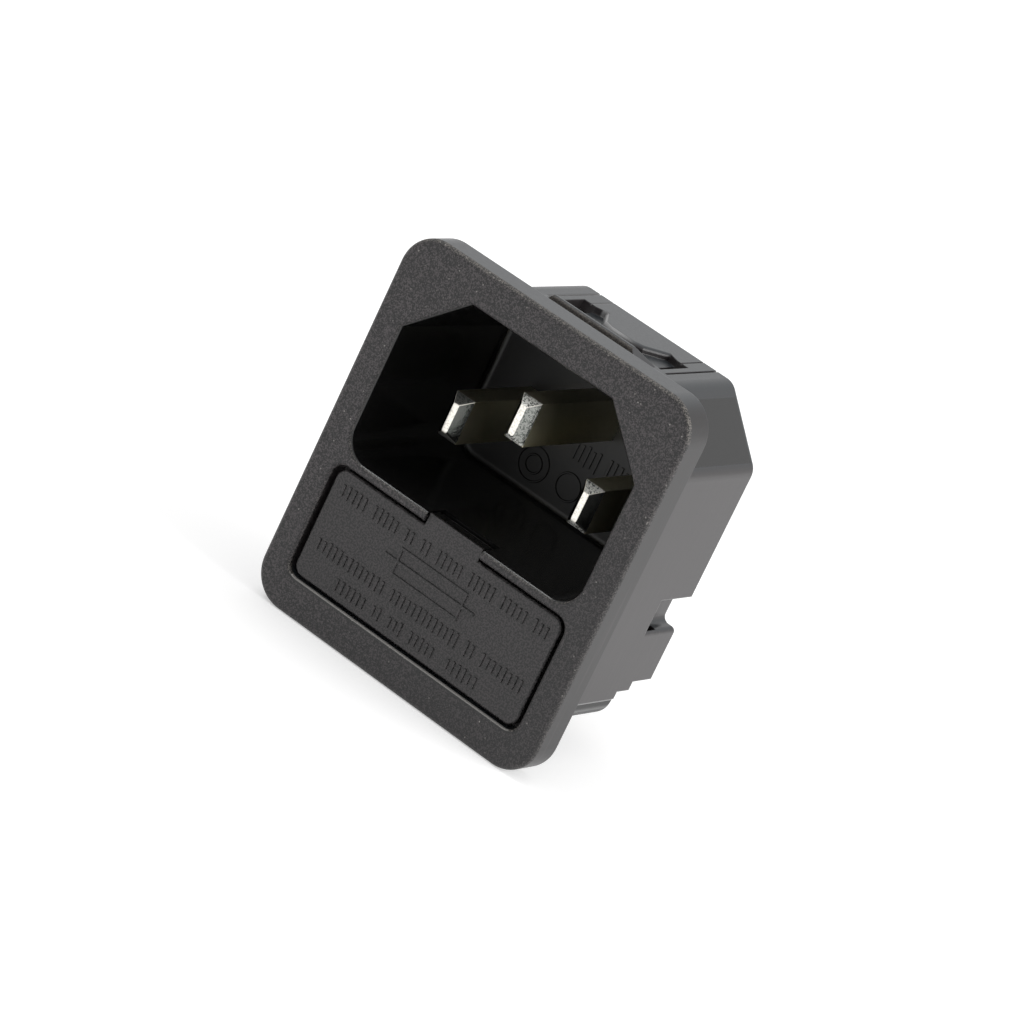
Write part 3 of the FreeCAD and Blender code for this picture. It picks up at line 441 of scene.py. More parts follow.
@dataclass(frozen=True)
class HousingMoulding:
    """Black moulded plastic: spark-textured front, satin sides, polished socket."""

    front: float
    places: HousingPlaces = HousingPlaces()
    face: float = 0.019
    side: float = 0.021
    collar: float = 0.009
    socket: float = 0.0065
    ledge_highlight: float = 0.22
    painted_light: float = 0.26
    # far: the share of the face's brightness that the painted shade leaves at the lower right.
    far: float = 0.62
    catch: float = 0.085
    glint: Colour = grey(0.34, 0.06)
    grain_bright: float = 3.3
    grain_dark: float = 0.02
    highlight_bright: float = 7.0
    highlight_dark: float = 0.1
    lip_shadow: float = 0.6
    shade_slope: Span = (0.75, 0.66)
    streak_bright: float = 1.9
    streak_down: Span = (0.55, 0.15)
    face_rough: float = 0.5
    side_rough: float = 0.34
    collar_rough: float = 0.42
    socket_rough: float = 0.2
    floor_rough: float = 0.42
    skirt_rough: float = 0.5
    streak_rough: float = 0.1
    streak_size: float = 0.24 * MM
    cloud_size: float = 6 * MM
    satin_size: float = 0.5 * MM
    grain: float = 0.115 * MM
    grain_steps: Span = (0.45, 0.6)
    lump_share: float = 2.6
    glint_share: float = 2.4
    glint_rare: Span = (0.9, 1.02)
    glint_highlight: float = 0.25
    glint_dot: Span = (0.1, 0.34)
    spark_depth: float = 0.07 * MM
    satin_depth: float = 0.004 * MM

    def _face_colour(self, zones: HousingZones, speck: Socket) -> Socket:
        """The textured skin, with a painted highlight along its upper edges and painted shade towards the
        lower right.

        Args:
            zones: the moulding's masks.
            speck: the grain, from its pits to its peaks.

        Returns:
            The colour.
        """
        s = zones.s
        # Painted shade: the face grows darker towards the lower right.
        right, down = self.shade_slope
        slope = s.math("SUBTRACT", s.math("MULTIPLY", zones.x, right), s.math("MULTIPLY", zones.z, down))
        painted_falloff = s.ramp(slope, *self.places.shade_span, 1.0, self.far)
        pale = s.tint(painted_falloff, grey(0.0), rose(self.face * self.grain_bright))
        base = s.tint(speck, grey(self.face * self.grain_dark, -0.3), pale)
        # Painted highlight: the upper edges get a paler grain.
        highlit_edge = s.tint(speck, grey(self.face * self.highlight_dark), grey(self.face * self.highlight_bright, 0.1))
        base = s.tint(zones.edge_highlight, base, highlit_edge)
        # Painted highlight on the lip's edge, and painted shadow at its front.
        base = s.tint(zones.highlit_lip, base, grey(self.ledge_highlight, 0.04))
        base = s.tint(zones.shaded_lip, base, grey(self.face * self.lip_shadow))
        # Painted light: the catch's front, in the flange's shadow, is lightened to a warm grey.
        hook = s.tint(speck, grey(self.catch * 0.6, 0.08), grey(self.catch * 1.4, 0.12))
        return s.tint(zones.hook, base, hook)

    def _side_colour(self, zones: HousingZones, streak: Socket) -> Socket:
        """The satin sides, with drawn streaks, painted shade on the flange's sides and the underside, a
        painted cool cast on upward faces, and painted highlight on the lower edges, the nose's rim and in the
        grooves.

        Args:
            zones: the moulding's masks.
            streak: the streaks' noise.

        Returns:
            The colour.
        """
        s = zones.s
        cloud = s.noise(self.cloud_size, 3.0, 0.55)
        side = s.tint(cloud, rose(self.side * 0.9), rose(self.side * 1.1))
        # A painted cool cast of the light on faces that look up.
        side = s.tint(s.ramp(zones.up, *self.places.top_facing), side, grey(self.side, -0.16))
        # Painted shade: the flange's sides are darkened.
        side = s.tint(zones.collar, side, rose(self.collar))
        drawn = s.both(
            s.ramp(streak, 0.5, 0.68), s.ramp(zones.beside, *self.places.streak_across),
            s.ramp(zones.z, *self.places.streak_up, *self.streak_down),
        )
        side = s.tint(drawn, side, rose(self.side * self.streak_bright))
        # Painted shade: the underside below the ledge is darkened.
        side = s.tint(zones.skirt, side, grey(self.collar * 0.6))
        # Painted highlight along the ledge and the lower edges.
        side = s.tint(zones.ledge_highlight, side, grey(self.ledge_highlight))
        # Painted highlight on the nose's rim, and painted light that fills the grooves' shade.
        side = s.tint(zones.nose, side, grey(self.painted_light))
        return s.tint(zones.cut, side, grey(self.painted_light))

    def _roughness(self, zones: HousingZones, skin: Socket, streak: Socket) -> Socket:
        """How dull each part is.

        Args:
            zones: the moulding's masks.
            skin: the mask of all textured faces.
            streak: the streaks' noise.

        Returns:
            The roughness.
        """
        s = zones.s
        half = self.streak_rough / 2
        plain = s.mix(zones.collar, self.side_rough - half, self.collar_rough - half)
        rough = s.math("ADD", s.math("MULTIPLY", streak, self.streak_rough), plain)
        for mask, level in (
            (zones.skirt, self.skirt_rough), (skin, self.face_rough),
            (zones.socket, self.socket_rough), (zones.floor, self.floor_rough),
        ):
            rough = s.mix(mask, rough, level)
        return rough

    def build(self) -> Material:
        """Lay out the material."""
        s = Shader("housing_moulding")
        zones = HousingZones(s, self.front, self.places)
        skin = s.either(zones.face, zones.hook)
        pits = s.noise(self.grain, 2.0, 0.65)
        lumps = s.noise(self.grain * self.lump_share, 2.0, 0.5)
        speck = s.ramp(s.weighed(pits, 0.8, lumps, 0.2), *self.grain_steps)
        streak = s.noise(self.streak_size, 2.0, 0.5, s.stretch((1.0, 1.0, 0.02)))
        dots, pick, shine = s.cells(self.grain * self.glint_share)
        chance = s.math("ADD", pick, s.math("MULTIPLY", zones.edge_highlight, self.glint_highlight))
        rare = s.ramp(chance, *self.glint_rare)
        glint = s.both(rare, s.fall(dots, *self.glint_dot), s.ramp(shine, 0.0, 1.0, 0.2), skin)
        colour = s.tint(skin, self._side_colour(zones, streak), self._face_colour(zones, speck))
        colour = s.tint(zones.socket, colour, grey(self.socket))
        s.link(s.tint(glint, colour, self.glint), "Base Color")
        s.link(self._roughness(zones, skin, streak), "Roughness")
        textured = s.either(skin, s.math("MULTIPLY", zones.skirt, 0.25))
        spark = s.bump(s.weighed(pits, 0.55, lumps, 0.45), self.spark_depth, textured, zones.rolled)
        s.link(s.bump(s.noise(self.satin_size, 3.0, 0.6), self.satin_depth, 0.5, spark), "Normal")
        s.set(IOR=1.5)
        return s.material


@dataclass(frozen=True)
class DrawerMoulding:
    """The drawer's finer satin plastic, polished behind its front plate."""

    face: float
    level: float = 0.016
    polish: float = 0.006
    rough: float = 0.48
    spread: float = 0.05
    polish_rough: float = 0.22
    grain: float = 0.17 * MM
    depth: float = 0.04 * MM
    edge: float = 0.09 * MM
    rim: float = 0.22 * MM
    tray: float = -1.0 * MM
    cloud_size: float = 3 * MM
    grain_bright: float = 2.1
    grain_steps: Span = (0.36, 0.64)
    mark: Span = mm(-0.02, -0.01)
    mark_bright: float = 6.0
    mark_flank: Span = (-0.97, -0.9)
    mark_under: Span = (-0.5, -0.2)
    mark_over: Span = (0.2, 0.5)

    def build(self) -> Material:
        """Lay out the material."""
        s = Shader("drawer_moulding")
        y = s.parts(s.place)[1]
        ahead, up = s.parts(s.shape())[1:]
        polished = s.band(y, self.face + self.rim, self.tray)
        fine = s.noise(self.grain, 2.0, 0.6)
        cloud = s.noise(self.cloud_size, 3.0, 0.55)
        mottle = s.weighed(s.ramp(fine, *self.grain_steps), 0.75, cloud, 0.25)
        plain = s.tint(s.ramp(mottle, 0.25, 0.75), grey(0.0), rose(self.level * self.grain_bright))
        # Painted highlight on the marks' flanks that face down, and painted shade on those that face up.
        before = s.fall(y, self.face + self.mark[0], self.face + self.mark[1])
        flank = s.both(before, s.ramp(ahead, *self.mark_flank))
        flank_highlight, flank_shade = grey(self.level * self.mark_bright), grey(0.0)
        plain = s.tint(s.both(flank, s.fall(up, *self.mark_under)), plain, flank_highlight)
        plain = s.tint(s.both(flank, s.ramp(up, *self.mark_over)), plain, flank_shade)
        s.link(s.tint(polished, plain, grey(self.polish)), "Base Color")
        grainy = s.ramp(fine, 0.25, 0.75, self.rough - self.spread, self.rough + self.spread)
        s.link(s.mix(polished, grainy, self.polish_rough), "Roughness")
        s.link(s.bump(fine, self.depth, 0.9, s.soft_edge(self.edge)), "Normal")
        s.set(IOR=1.5)
        return s.material


@dataclass(frozen=True)
class PlateMoulding:
    """The terminal plate's plain satin plastic."""

    level: float = 0.02
    rough: float = 0.38
    grain: float = 0.25 * MM
    cloud_size: float = 5 * MM
    depth: float = 0.008 * MM
    edge: float = 0.12 * MM

    def build(self) -> Material:
        """Lay out the material."""
        s = Shader("plate_moulding")
        fine = s.noise(self.grain, 3.0, 0.6)
        cloud = s.noise(self.cloud_size, 3.0, 0.55)
        s.link(s.tint(cloud, grey(self.level * 0.85), grey(self.level * 1.15)), "Base Color")
        s.link(s.ramp(fine, 0.25, 0.75, self.rough - 0.04, self.rough + 0.05), "Roughness")
        s.link(s.bump(fine, self.depth, 0.5, s.soft_edge(self.edge)), "Normal")
        s.set(IOR=1.5)
        return s.material


@dataclass(frozen=True)
class NickelPlate:
    """Nickel-plated blade: smooth drawn sides, pitted struck tip, bright flat end."""

    name: str
    front: float
    # cheek and brow are painted reflection: each blade's struck tip is given its own brightness. shade is
    # painted shade on the side near the tip.
    cheek: float
    brow: float
    shade: float
    end: Colour = (0.9, 0.87, 0.8, 1.0)
    pit: Colour = (0.1, 0.11, 0.1, 1.0)
    side: Colour = (0.58, 0.55, 0.4, 1.0)
    stake: Colour = (0.56, 0.55, 0.51, 1.0)
    side_rough: float = 0.34
    near_rough: float = 0.46
    cheek_rough: float = 0.14
    brow_rough: float = 0.55
    end_rough: float = 0.4
    draw_rough: float = 0.08
    tip_length: float = 1.0 * MM
    tip_end: Span = mm(-0.06, 0.04)
    end_along: Span = mm(0.03, 0.07)
    near_start: float = 0.5 * MM
    near_length: float = 4.5 * MM
    stake_along: Span = mm(16.5, 16.6)
    brow_facing: Span = (0.3, 0.5)
    flank_ridge: Span = (0.15, 0.68)
    crown_ridge: Span = (0.87, 0.985)
    grit_size: float = 0.18 * MM
    smear_size: float = 0.7 * MM
    draw_size: float = 0.16 * MM
    pit_depth: float = 0.02 * MM
    smear_depth: float = 0.006 * MM

    def build(self) -> Material:
        """Lay out the material."""
        s = Shader(self.name)
        y = s.parts(s.place)[1]
        up = s.parts(s.shape())[2]
        shoulder = self.front + self.tip_length
        settled = shoulder + self.near_length
        tip = s.fall(y, shoulder + self.tip_end[0], shoulder + self.tip_end[1])
        end = s.fall(y, self.front + self.end_along[0], self.front + self.end_along[1])
        brow = s.both(tip, s.ramp(s.math("ABSOLUTE", up), *self.brow_facing))
        cheek = dimmed(grey(self.cheek), 1.0, 1.02, 0.96)
        struck_colour = s.tint(brow, cheek, dimmed(grey(self.brow), 1.0, 1.0, 0.95))
        # Painted highlight along the struck tip's edges.
        ridges = s.math("ADD", s.band(up, *self.flank_ridge, 0.05), s.band(up, *self.crown_ridge, 0.01))
        ridge = s.both(tip, ridges, s.without(end))
        grit = s.noise(self.grit_size, 2.0, 0.6)
        smear = s.noise(self.smear_size, 3.0, 0.6)
        draw = s.noise(self.draw_size, 2.0, 0.5, s.stretch((1.0, 0.03, 1.0)))
        pitted = s.both(tip, s.ramp(grit, 0.5, 0.58), s.ramp(smear, 0.3, 0.5), s.mix(end, 1.0, 0.3))
        # Painted shade on the side near the tip.
        shaded = dimmed(self.side, self.shade, self.shade, self.shade)
        side = s.tint(s.ramp(y, shoulder + self.near_start, settled), shaded, self.side)
        plain = s.tint(s.ramp(y, *self.stake_along), side, self.stake)
        plate = s.tint(end, s.tint(tip, plain, struck_colour), self.end)
        s.link(s.tint(ridge, s.tint(pitted, plate, self.pit), self.end), "Base Color")
        near = s.ramp(y, shoulder, settled, self.near_rough, self.side_rough)
        level = s.math("SUBTRACT", near, self.draw_rough / 2)
        rough = s.math("ADD", s.math("MULTIPLY", draw, self.draw_rough), level)
        grainy = s.ramp(grit, 0.35, 0.65, -0.04, 0.06)
        struck = s.math("ADD", grainy, s.mix(brow, self.cheek_rough, self.brow_rough))
        worked = s.mix(ridge, s.mix(tip, rough, struck), self.brow_rough)
        s.link(s.mix(end, worked, self.end_rough), "Roughness")
        relief = s.bump(grit, self.pit_depth, s.math("MULTIPLY", tip, 0.6))
        s.link(s.bump(smear, self.smear_depth, 0.3, relief), "Normal")
        s.set(Metallic=1.0)
        return s.material


@dataclass(frozen=True)
class SheetMetal:
    """Rolled and plated or bare sheet metal."""

    name: str
    colour: Colour
    rough: float
    roll_size: float = 0.15 * MM
    roll_depth: float = 0.001 * MM
    stain_size: float = 1.6 * MM
    edge: float = 0.08 * MM

    def build(self) -> Material:
        """Lay out the material."""
        s = Shader(self.name)
        roll = s.noise(self.roll_size, 3.0, 0.55, s.stretch((1.0, 0.06, 1.0)))
        stain = s.ramp(s.noise(self.stain_size, 4.0, 0.6), 0.42, 0.72)
        s.link(s.tint(stain, self.colour, dimmed(self.colour, 0.82, 0.8, 0.76)), "Base Color")
        s.link(s.ramp(roll, 0.2, 0.8, self.rough - 0.06, self.rough + 0.08), "Roughness")
        s.link(s.bump(roll, self.roll_depth, 0.4, s.soft_edge(self.edge)), "Normal")
        s.set(Metallic=1.0)
        return s.material


@dataclass(frozen=True)
class ClearGlass:
    """The fuse's glass tube."""

    rough: float = 0.03
    depth: float = 0.01 * MM

    def build(self) -> Material:
        """Lay out the material."""
        s = Shader("clear_glass")
        drawn = s.noise(0.8 * MM, 2.0, 0.5, s.stretch((0.1, 1.0, 1.0)))
        s.link(s.ramp(drawn, 0.2, 0.8, self.rough, self.rough + 0.04), "Roughness")
        s.link(s.bump(drawn, self.depth, 0.3), "Normal")
        s.set(Base_Color=(0.95, 0.98, 0.97, 1.0), Transmission_Weight=1.0, IOR=1.5)
        return s.material


@dataclass(frozen=True)
class StudioFloor:
    """The pale floor, white to the camera and to reflections, with the object's shadow kept."""

    level: float = 0.82
    lift: float = 0.4
    sheen: float = 0.58

    def build(self) -> Material:
        """Lay out the material."""
        s = Shader("studio_floor")
        s.set(Base_Color=grey(self.level), Roughness=0.9, Specular_IOR_Level=0.0)
        path = s.add("LightPath").outputs
        mirrored = s.either(path["Is Glossy Ray"], path["Is Transmission Ray"])
        strength = s.weighed(path["Is Camera Ray"], self.lift, mirrored, self.sheen)
        glow = s.add("Emission", {"Strength": strength})
        summed = s.add("AddShader", {0: s.surface.outputs[0], 1: glow.outputs[0]})
        s.tree.links.new(summed.outputs[0], s.output.inputs["Surface"])
        return s.material


# ---- meshes


def dress(piece: Object, material: Material) -> None:
    """Give every face of a piece one material.

    Args:
        piece: the piece.
        material: the material.
    """
    slots = piece.data.materials
    if len(slots) == 0:
        slots.append(material)
    for index in range(len(slots)):
        slots[index] = material


def new_object(name: str, data: ID) -> Object:
    """Link a mesh, a lamp or a camera as an object that stands at the origin.

    Args:
        name: the object's name.
        data: what it shows.

    Returns:
        The object.
    """
    thing = bpy.data.objects.new(name, data)
    bpy.context.scene.collection.objects.link(thing)
    return thing


def ring(form: BMesh, centre: Spot, radius: float, y: float, steps: int) -> list[BMVert]:
    """Place corners on a circle that faces along y.

    Args:
        form: the form that they join.
        centre: the circle's middle, across and up.
        radius: its radius.
        y: its place along y.
        steps: the corners' count.

    Returns:
        The corners, in order.
    """
    turns = [math.tau * step / steps for step in range(steps)]
    return [
        form.verts.new((centre[0] + radius * math.cos(turn), y, centre[1] + radius * math.sin(turn)))
        for turn in turns
    ]


def skin(form: BMesh, rings: Rings, capped: bool = True) -> None:
    """Join neighbouring rings with faces.

    Args:
        form: the form that they belong to.
        rings: rings of equally many corners.
        capped: whether the first and last ring are closed with a face.
    """
    count = len(rings[0])
    for near, far in zip(rings, rings[1:]):
        for index in range(count):
            after = (index + 1) % count
            form.faces.new((near[index], near[after], far[after], far[index]))
    if capped:
        form.faces.new(rings[0])
        form.faces.new(list(reversed(rings[-1])))


def pour(form: BMesh, mesh: Mesh) -> Mesh:
    """Write a form into a mesh, with its faces outwards.

    Args:
        form: the form, which is used up.
        mesh: the mesh that takes its shape.

    Returns:
        The mesh.
    """
    bmesh.ops.recalc_face_normals(form, faces=form.faces)
    form.to_mesh(mesh)
    form.free()
    return mesh


def settle(piece: Object) -> None:
    """Turn a piece's modifiers into plain mesh and take them off.

    Args:
        piece: the piece.
    """
    graph = bpy.context.evaluated_depsgraph_get()
    plain = bpy.data.meshes.new_from_object(piece.evaluated_get(graph))
    plain.name = piece.name
    piece.modifiers.clear()
    piece.data = plain


def join(piece: Object, body: Body, slot: Slot, *replaced: str) -> None:
    """Put a finished piece on its body.

    Args:
        piece: the piece.
        body: the body that it moves with.
        slot: the record's material slot of its finish; not used.
        replaced: the solids that it stands for.
    """
    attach(piece, body.value)
    if replaced:
        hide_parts(*replaced)
    LOG.info("built %s, %d faces", piece.name, len(piece.data.polygons))


# ---- contact blades


@dataclass
class ContactBlade:
    """A solid blade with softened edges, a struck tip and a spun stake behind."""

    node: str
    finish: Material
    width: float = 2.0 * MM
    tip_length: float = 1.0 * MM
    tip_width: float = 0.52 * MM
    tip_low: float = 1.43 * MM
    tip_high: float = 1.3 * MM
    edge_radius: float = 0.3 * MM
    edge_steps: int = 4
    edge_share: float = 0.2
    stake: float = 0.9 * MM
    stake_sunk: float = 0.1 * MM
    head: float = 1.4 * MM
    head_rim: float = 0.08 * MM
    head_height: float = 0.35 * MM
    head_dome: tuple[Spot, ...] = ((0.88, 0.72), (0.6, 0.98), (0.32, 1.0), (0.2, 0.6))
    sheet: float = 0.8 * MM
    steps: int = 40
    sharp: float = math.radians(38)

    def _bar(self, form: BMesh, front: float, rear: float, middle: Vector, half: float) -> None:
        """The bar and its bevelled tip, with how round each edge becomes.

        Args:
            form: the form that it joins.
            front: the y of the tip's end.
            rear: the y of the bar's foot.
            middle: the blade's middle.
            half: half of its height.
        """
        weight = form.edges.layers.float.new("bevel_weight_edge")
        wide, strip = self.width / 2, self.tip_width / 2
        rings = []
        for y, across, low, high in (
            (front, strip, self.tip_low, self.tip_high),
            (front + self.tip_length, wide, half, half),
            (rear, wide, half, half),
        ):
            plan = ((-across, -low), (across, -low), (across, high), (-across, high))
            rings.append([form.verts.new((middle.x + a, y, middle.z + b)) for a, b in plan])
        skin(form, rings)
        for edge in form.edges:
            first, last = edge.verts
            tipped = min(first.co.y, last.co.y) < front + self.tip_length / 2
            bottom = max(first.co.z, last.co.z) < middle.z - half / 2
            edge[weight] = 1.0 if tipped and bottom else self.edge_share

    def _stake(self, form: BMesh, foot: float, middle: Vector) -> None:
        """The round stake and its spun head, with a dimple.

        Args:
            form: the form that it joins.
            foot: the y of the bar's foot.
            middle: the blade's middle.
        """
        top = foot + self.sheet
        dome = [(self.head * wide, top + self.head_height * tall) for wide, tall in self.head_dome]
        profile = (
            (self.stake, foot - self.stake_sunk), (self.stake, top),
            (self.head, top), (self.head, top + self.head_rim), *dome,
        )
        skin(form, [ring(form, (middle.x, middle.z), radius, y, self.steps) for radius, y in profile])

    def build(self) -> None:
        """Make the blade in its CAD place."""
        low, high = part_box(self.node)
        middle = (low + high) / 2
        foot = high.y - self.head_height - self.sheet
        form = bmesh.new()
        self._bar(form, low.y, foot, middle, (high.z - low.z) / 2)
        piece = new_object(self.node + "_finished", pour(form, bpy.data.meshes.new(self.node + "_bar")))
        bevel = piece.modifiers.new("edges", "BEVEL")
        bevel.limit_method = "WEIGHT"
        bevel.width = self.edge_radius
        bevel.segments = self.edge_steps
        settle(piece)
        form = bmesh.new()
        form.from_mesh(piece.data)
        self._stake(form, foot, middle)
        pour(form, piece.data)
        piece.data.shade_smooth()
        piece.data.set_sharp_from_angle(angle=self.sharp)
        dress(piece, self.finish)
        join(piece, Body.INLET, Slot.NICKEL, self.node)


# ---- moulded marks


@dataclass(frozen=True)
class MarkedFace:
    """A flat face that looks forward and carries marks: its y, its material, its body and slot."""

    level: float
    finish: Material
    body: Body
    slot: Slot

    def take(self, piece: Object) -> None:
        """Give a piece the face's finish, and put it on the face's body."""
        dress(piece, self.finish)
        join(piece, self.body, self.slot)


@dataclass
class Relief:
    """Low raised marks on a face, sunk in it by their root so that no gap shows."""

    face: MarkedFace
    form: BMesh = field(default_factory=bmesh.new)
    root: float = 0.02 * MM
    steps: int = 48

    def bar(self, start: Spot, end: Spot, width: float, rise: float) -> None:
        """Raise a straight ridge with sloped sides.

        Args:
            start: its first end, across and up.
            end: its other end.
            width: its width at the foot.
            rise: its height above the face.
        """
        first, last = Vector(start), Vector(end)
        along = (last - first).normalized()
        side = Vector((-along.y, along.x))
        rings = []
        for lift, half in ((-self.root, width / 2), (0.0, width / 2), (rise, (width - rise) / 2)):
            plan = (
                first - along * half + side * half, first - along * half - side * half,
                last + along * half - side * half, last + along * half + side * half,
            )
            y = self.face.level - lift
            rings.append([self.form.verts.new((spot.x, y, spot.y)) for spot in plan])
        skin(self.form, rings)

    def loop(self, centre: Spot, radius: float, width: float, rise: float) -> None:
        """Raise a round ridge.

        Args:
            centre: its middle, across and up.
            radius: the middle of its width.
            width: its width at the foot.
            rise: its height above the face.
        """
        foot, top = width / 2, (width - rise) / 2
        profile = (
            (-foot, -self.root), (-foot, 0.0), (-top, rise), (top, rise), (foot, 0.0), (foot, -self.root),
        )
        rings = [
            ring(self.form, centre, radius + offset, self.face.level - lift, self.steps)
            for offset, lift in profile
        ]
        skin(self.form, [*rings, rings[0]], capped=False)

    def build(self, name: str) -> None:
        """Make the marks one piece on their face."""
        self.face.take(new_object(name, pour(self.form, bpy.data.meshes.new(name))))


@dataclass
class RibRow:
    """One row of low upright ribs in small groups, laid out by Geometry Nodes."""

    name: str
    middle: float
    height: float
    ribs: int
    gaps: tuple[int, int]
    seed: int
    tall: float = 1.35 * MM
    wide: float = 0.26 * MM
    rise: float = 0.11 * MM
    pitch: float = 0.58 * MM
    least: Place = (0.9, 1.0, 0.7)
    most: Place = (1.1, 1.0, 1.0)
    edge_radius: float = 0.035 * MM
    edge_steps: int = 2

    def _tree(self, face: MarkedFace) -> tuple[NodeTree, dict[str, int | float]]:
        """Lay out the row's node tree.

        Args:
            face: the face that carries the ribs.

        Returns:
            The tree, and the value of each of its inputs by identifier.
        """
        tree = bpy.data.node_groups.new(self.name + "_ribs", "GeometryNodeTree")
        tree.interface.new_socket("Geometry", in_out="INPUT", socket_type="NodeSocketGeometry")
        values = {}
        for label, value in (
            ("Ribs", self.ribs), ("Gap Every", self.gaps[0]), ("Second Gap", self.gaps[1]),
            ("Pitch", self.pitch), ("Rib Width", self.wide), ("Rib Height", self.tall),
            ("Rise", self.rise), ("Seed", self.seed),
        ):
            kind = "NodeSocketInt" if isinstance(value, int) else "NodeSocketFloat"
            socket = tree.interface.new_socket(label, in_out="INPUT", socket_type=kind)
            values[socket.identifier] = value
        tree.interface.new_socket("Geometry", in_out="OUTPUT", socket_type="NodeSocketGeometry")

        def add(kind: str, feeds: Feeds, **settings: str) -> Socket:
            """Add a node and hand on its first output."""
            return add_node(tree, kind, feeds, **settings).outputs[0]

        given = tree.nodes.new("NodeGroupInput").outputs
        start = (self.middle - self.pitch * (self.ribs - 1) / 2, face.level, self.height)
        step = add("ShaderNodeCombineXYZ", {"X": given["Pitch"]})
        line = add("GeometryNodeMeshLine", {"Count": given["Ribs"], "Start Location": start, "Offset": step})
        order = add("GeometryNodeInputIndex", {})
        first, second = (
            add("ShaderNodeMath", {0: order, 1: given[label]}, operation="MODULO")
            for label in ("Gap Every", "Second Gap")
        )
        nearer = add("ShaderNodeMath", {0: first, 1: second}, operation="MINIMUM")
        gap = add("FunctionNodeCompare", {"A": nearer, "B": 0.5}, data_type="FLOAT", operation="LESS_THAN")
        points = add("GeometryNodeDeleteGeometry", {"Geometry": line, "Selection": gap})
        depth = add("ShaderNodeMath", {0: given["Rise"], 1: 2.0}, operation="MULTIPLY")
        size = add("ShaderNodeCombineXYZ", {"X": given["Rib Width"], "Y": depth, "Z": given["Rib Height"]})
        block = add("GeometryNodeMeshCube", {"Size": size})
        ranges = {"Min": self.least, "Max": self.most, "Seed": given["Seed"]}
        vary = add("FunctionNodeRandomValue", ranges, data_type="FLOAT_VECTOR")
        ribs = add("GeometryNodeInstanceOnPoints", {"Points": points, "Instance": block, "Scale": vary})
        real = add("GeometryNodeRealizeInstances", {0: ribs})
        coat = add("GeometryNodeSetMaterial", {"Geometry": real, "Material": face.finish})
        add_node(tree, "NodeGroupOutput", {0: coat})
        return tree, values

    def build(self, face: MarkedFace) -> None:
        """Make the row.

        Args:
            face: the face that carries the ribs.
        """
        piece = new_object(self.name, bpy.data.meshes.new(self.name))
        layout = piece.modifiers.new("ribs", "NODES")
        layout.node_group, values = self._tree(face)
        for identifier, value in values.items():
            layout[identifier] = value
        soft = piece.modifiers.new("edges", "BEVEL")
        soft.width = self.edge_radius
        soft.segments = self.edge_steps
        settle(piece)
        face.take(piece)


@dataclass
class DrawerMarks:
    """The fuse symbol and three rows of ribs on the drawer's face."""

    finish: Material
    centre: Spot = mm(-0.2, -7.6)
    long: float = 7.0 * MM
    high: float = 2.3 * MM
    lead: float = 1.2 * MM
    width: float = 0.3 * MM
    rise: float = 0.12 * MM

    def build(self) -> None:
        """Raise the symbol and the ribs. Bars that cross differ in height, so none share a face."""
        face = MarkedFace(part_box("fuse_drawer")[0].y, self.finish, Body.DRAWER, Slot.DRAWER)
        x, z = self.centre
        left, right = x - self.long / 2, x + self.long / 2
        low, high = z - self.high / 2, z + self.high / 2
        mark = Relief(face)
        for start, end, wider, higher in (
            ((left, low), (right, low), 1.0, 1.0),
            ((left, high), (right, high), 1.0, 1.0),
            ((left, low), (left, high), 0.8, 0.9),
            ((right, low), (right, high), 0.8, 0.9),
            ((left - self.lead, z), (right + self.lead, z), 1.1, 1.1),
        ):
            mark.bar(start, end, self.width * wider, self.rise * higher)
        mark.build("fuse_symbol")
        for row in (
            RibRow("ribs_upper", *mm(-0.25, -5.3), ribs=40, gaps=(6, 15), seed=3),
            RibRow("ribs_middle", *mm(-0.25, -10.3), ribs=40, gaps=(14, 31), seed=5),
            RibRow("ribs_lower", *mm(-0.3, -12.35), ribs=29, gaps=(7, 10), seed=8, tall=1.25 * MM),
        ):
            row.build(face)


@dataclass
class SocketMarks:
    """Plain round marks and a row of ribs on the socket's floor."""

    finish: Material
    depth: float = 16.2 * MM
    rings: tuple[tuple[Spot, float], ...] = (
        (mm(-4.6, 0.2), 1.5 * MM), (mm(-4.6, 0.2), 0.8 * MM), (mm(-0.8, 0.2), 1.2 * MM),
    )
    ring_width: float = 0.22 * MM
    ring_rise: float = 0.12 * MM

    def build(self) -> None:
        """Raise the marks."""
        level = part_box("housing")[0].y + self.depth
        face = MarkedFace(level, self.finish, Body.INLET, Slot.HOUSING)
        mark = Relief(face)
        for centre, radius in self.rings:
            mark.loop(centre, radius, self.ring_width, self.ring_rise)
        mark.build("socket_rings")
        row = RibRow(
            "socket_ribs", *mm(0.7, 3.3), ribs=11, gaps=(6, 19), seed=4, tall=2.1 * MM, rise=0.14 * MM,
        )
        row.build(face)


# ---- studio


@dataclass(frozen=True)
class Lamp:
    """One soft box: where it hangs in metres, its width and height, its strength in watts."""

    name: str
    place: Place
    size: float
    power: float


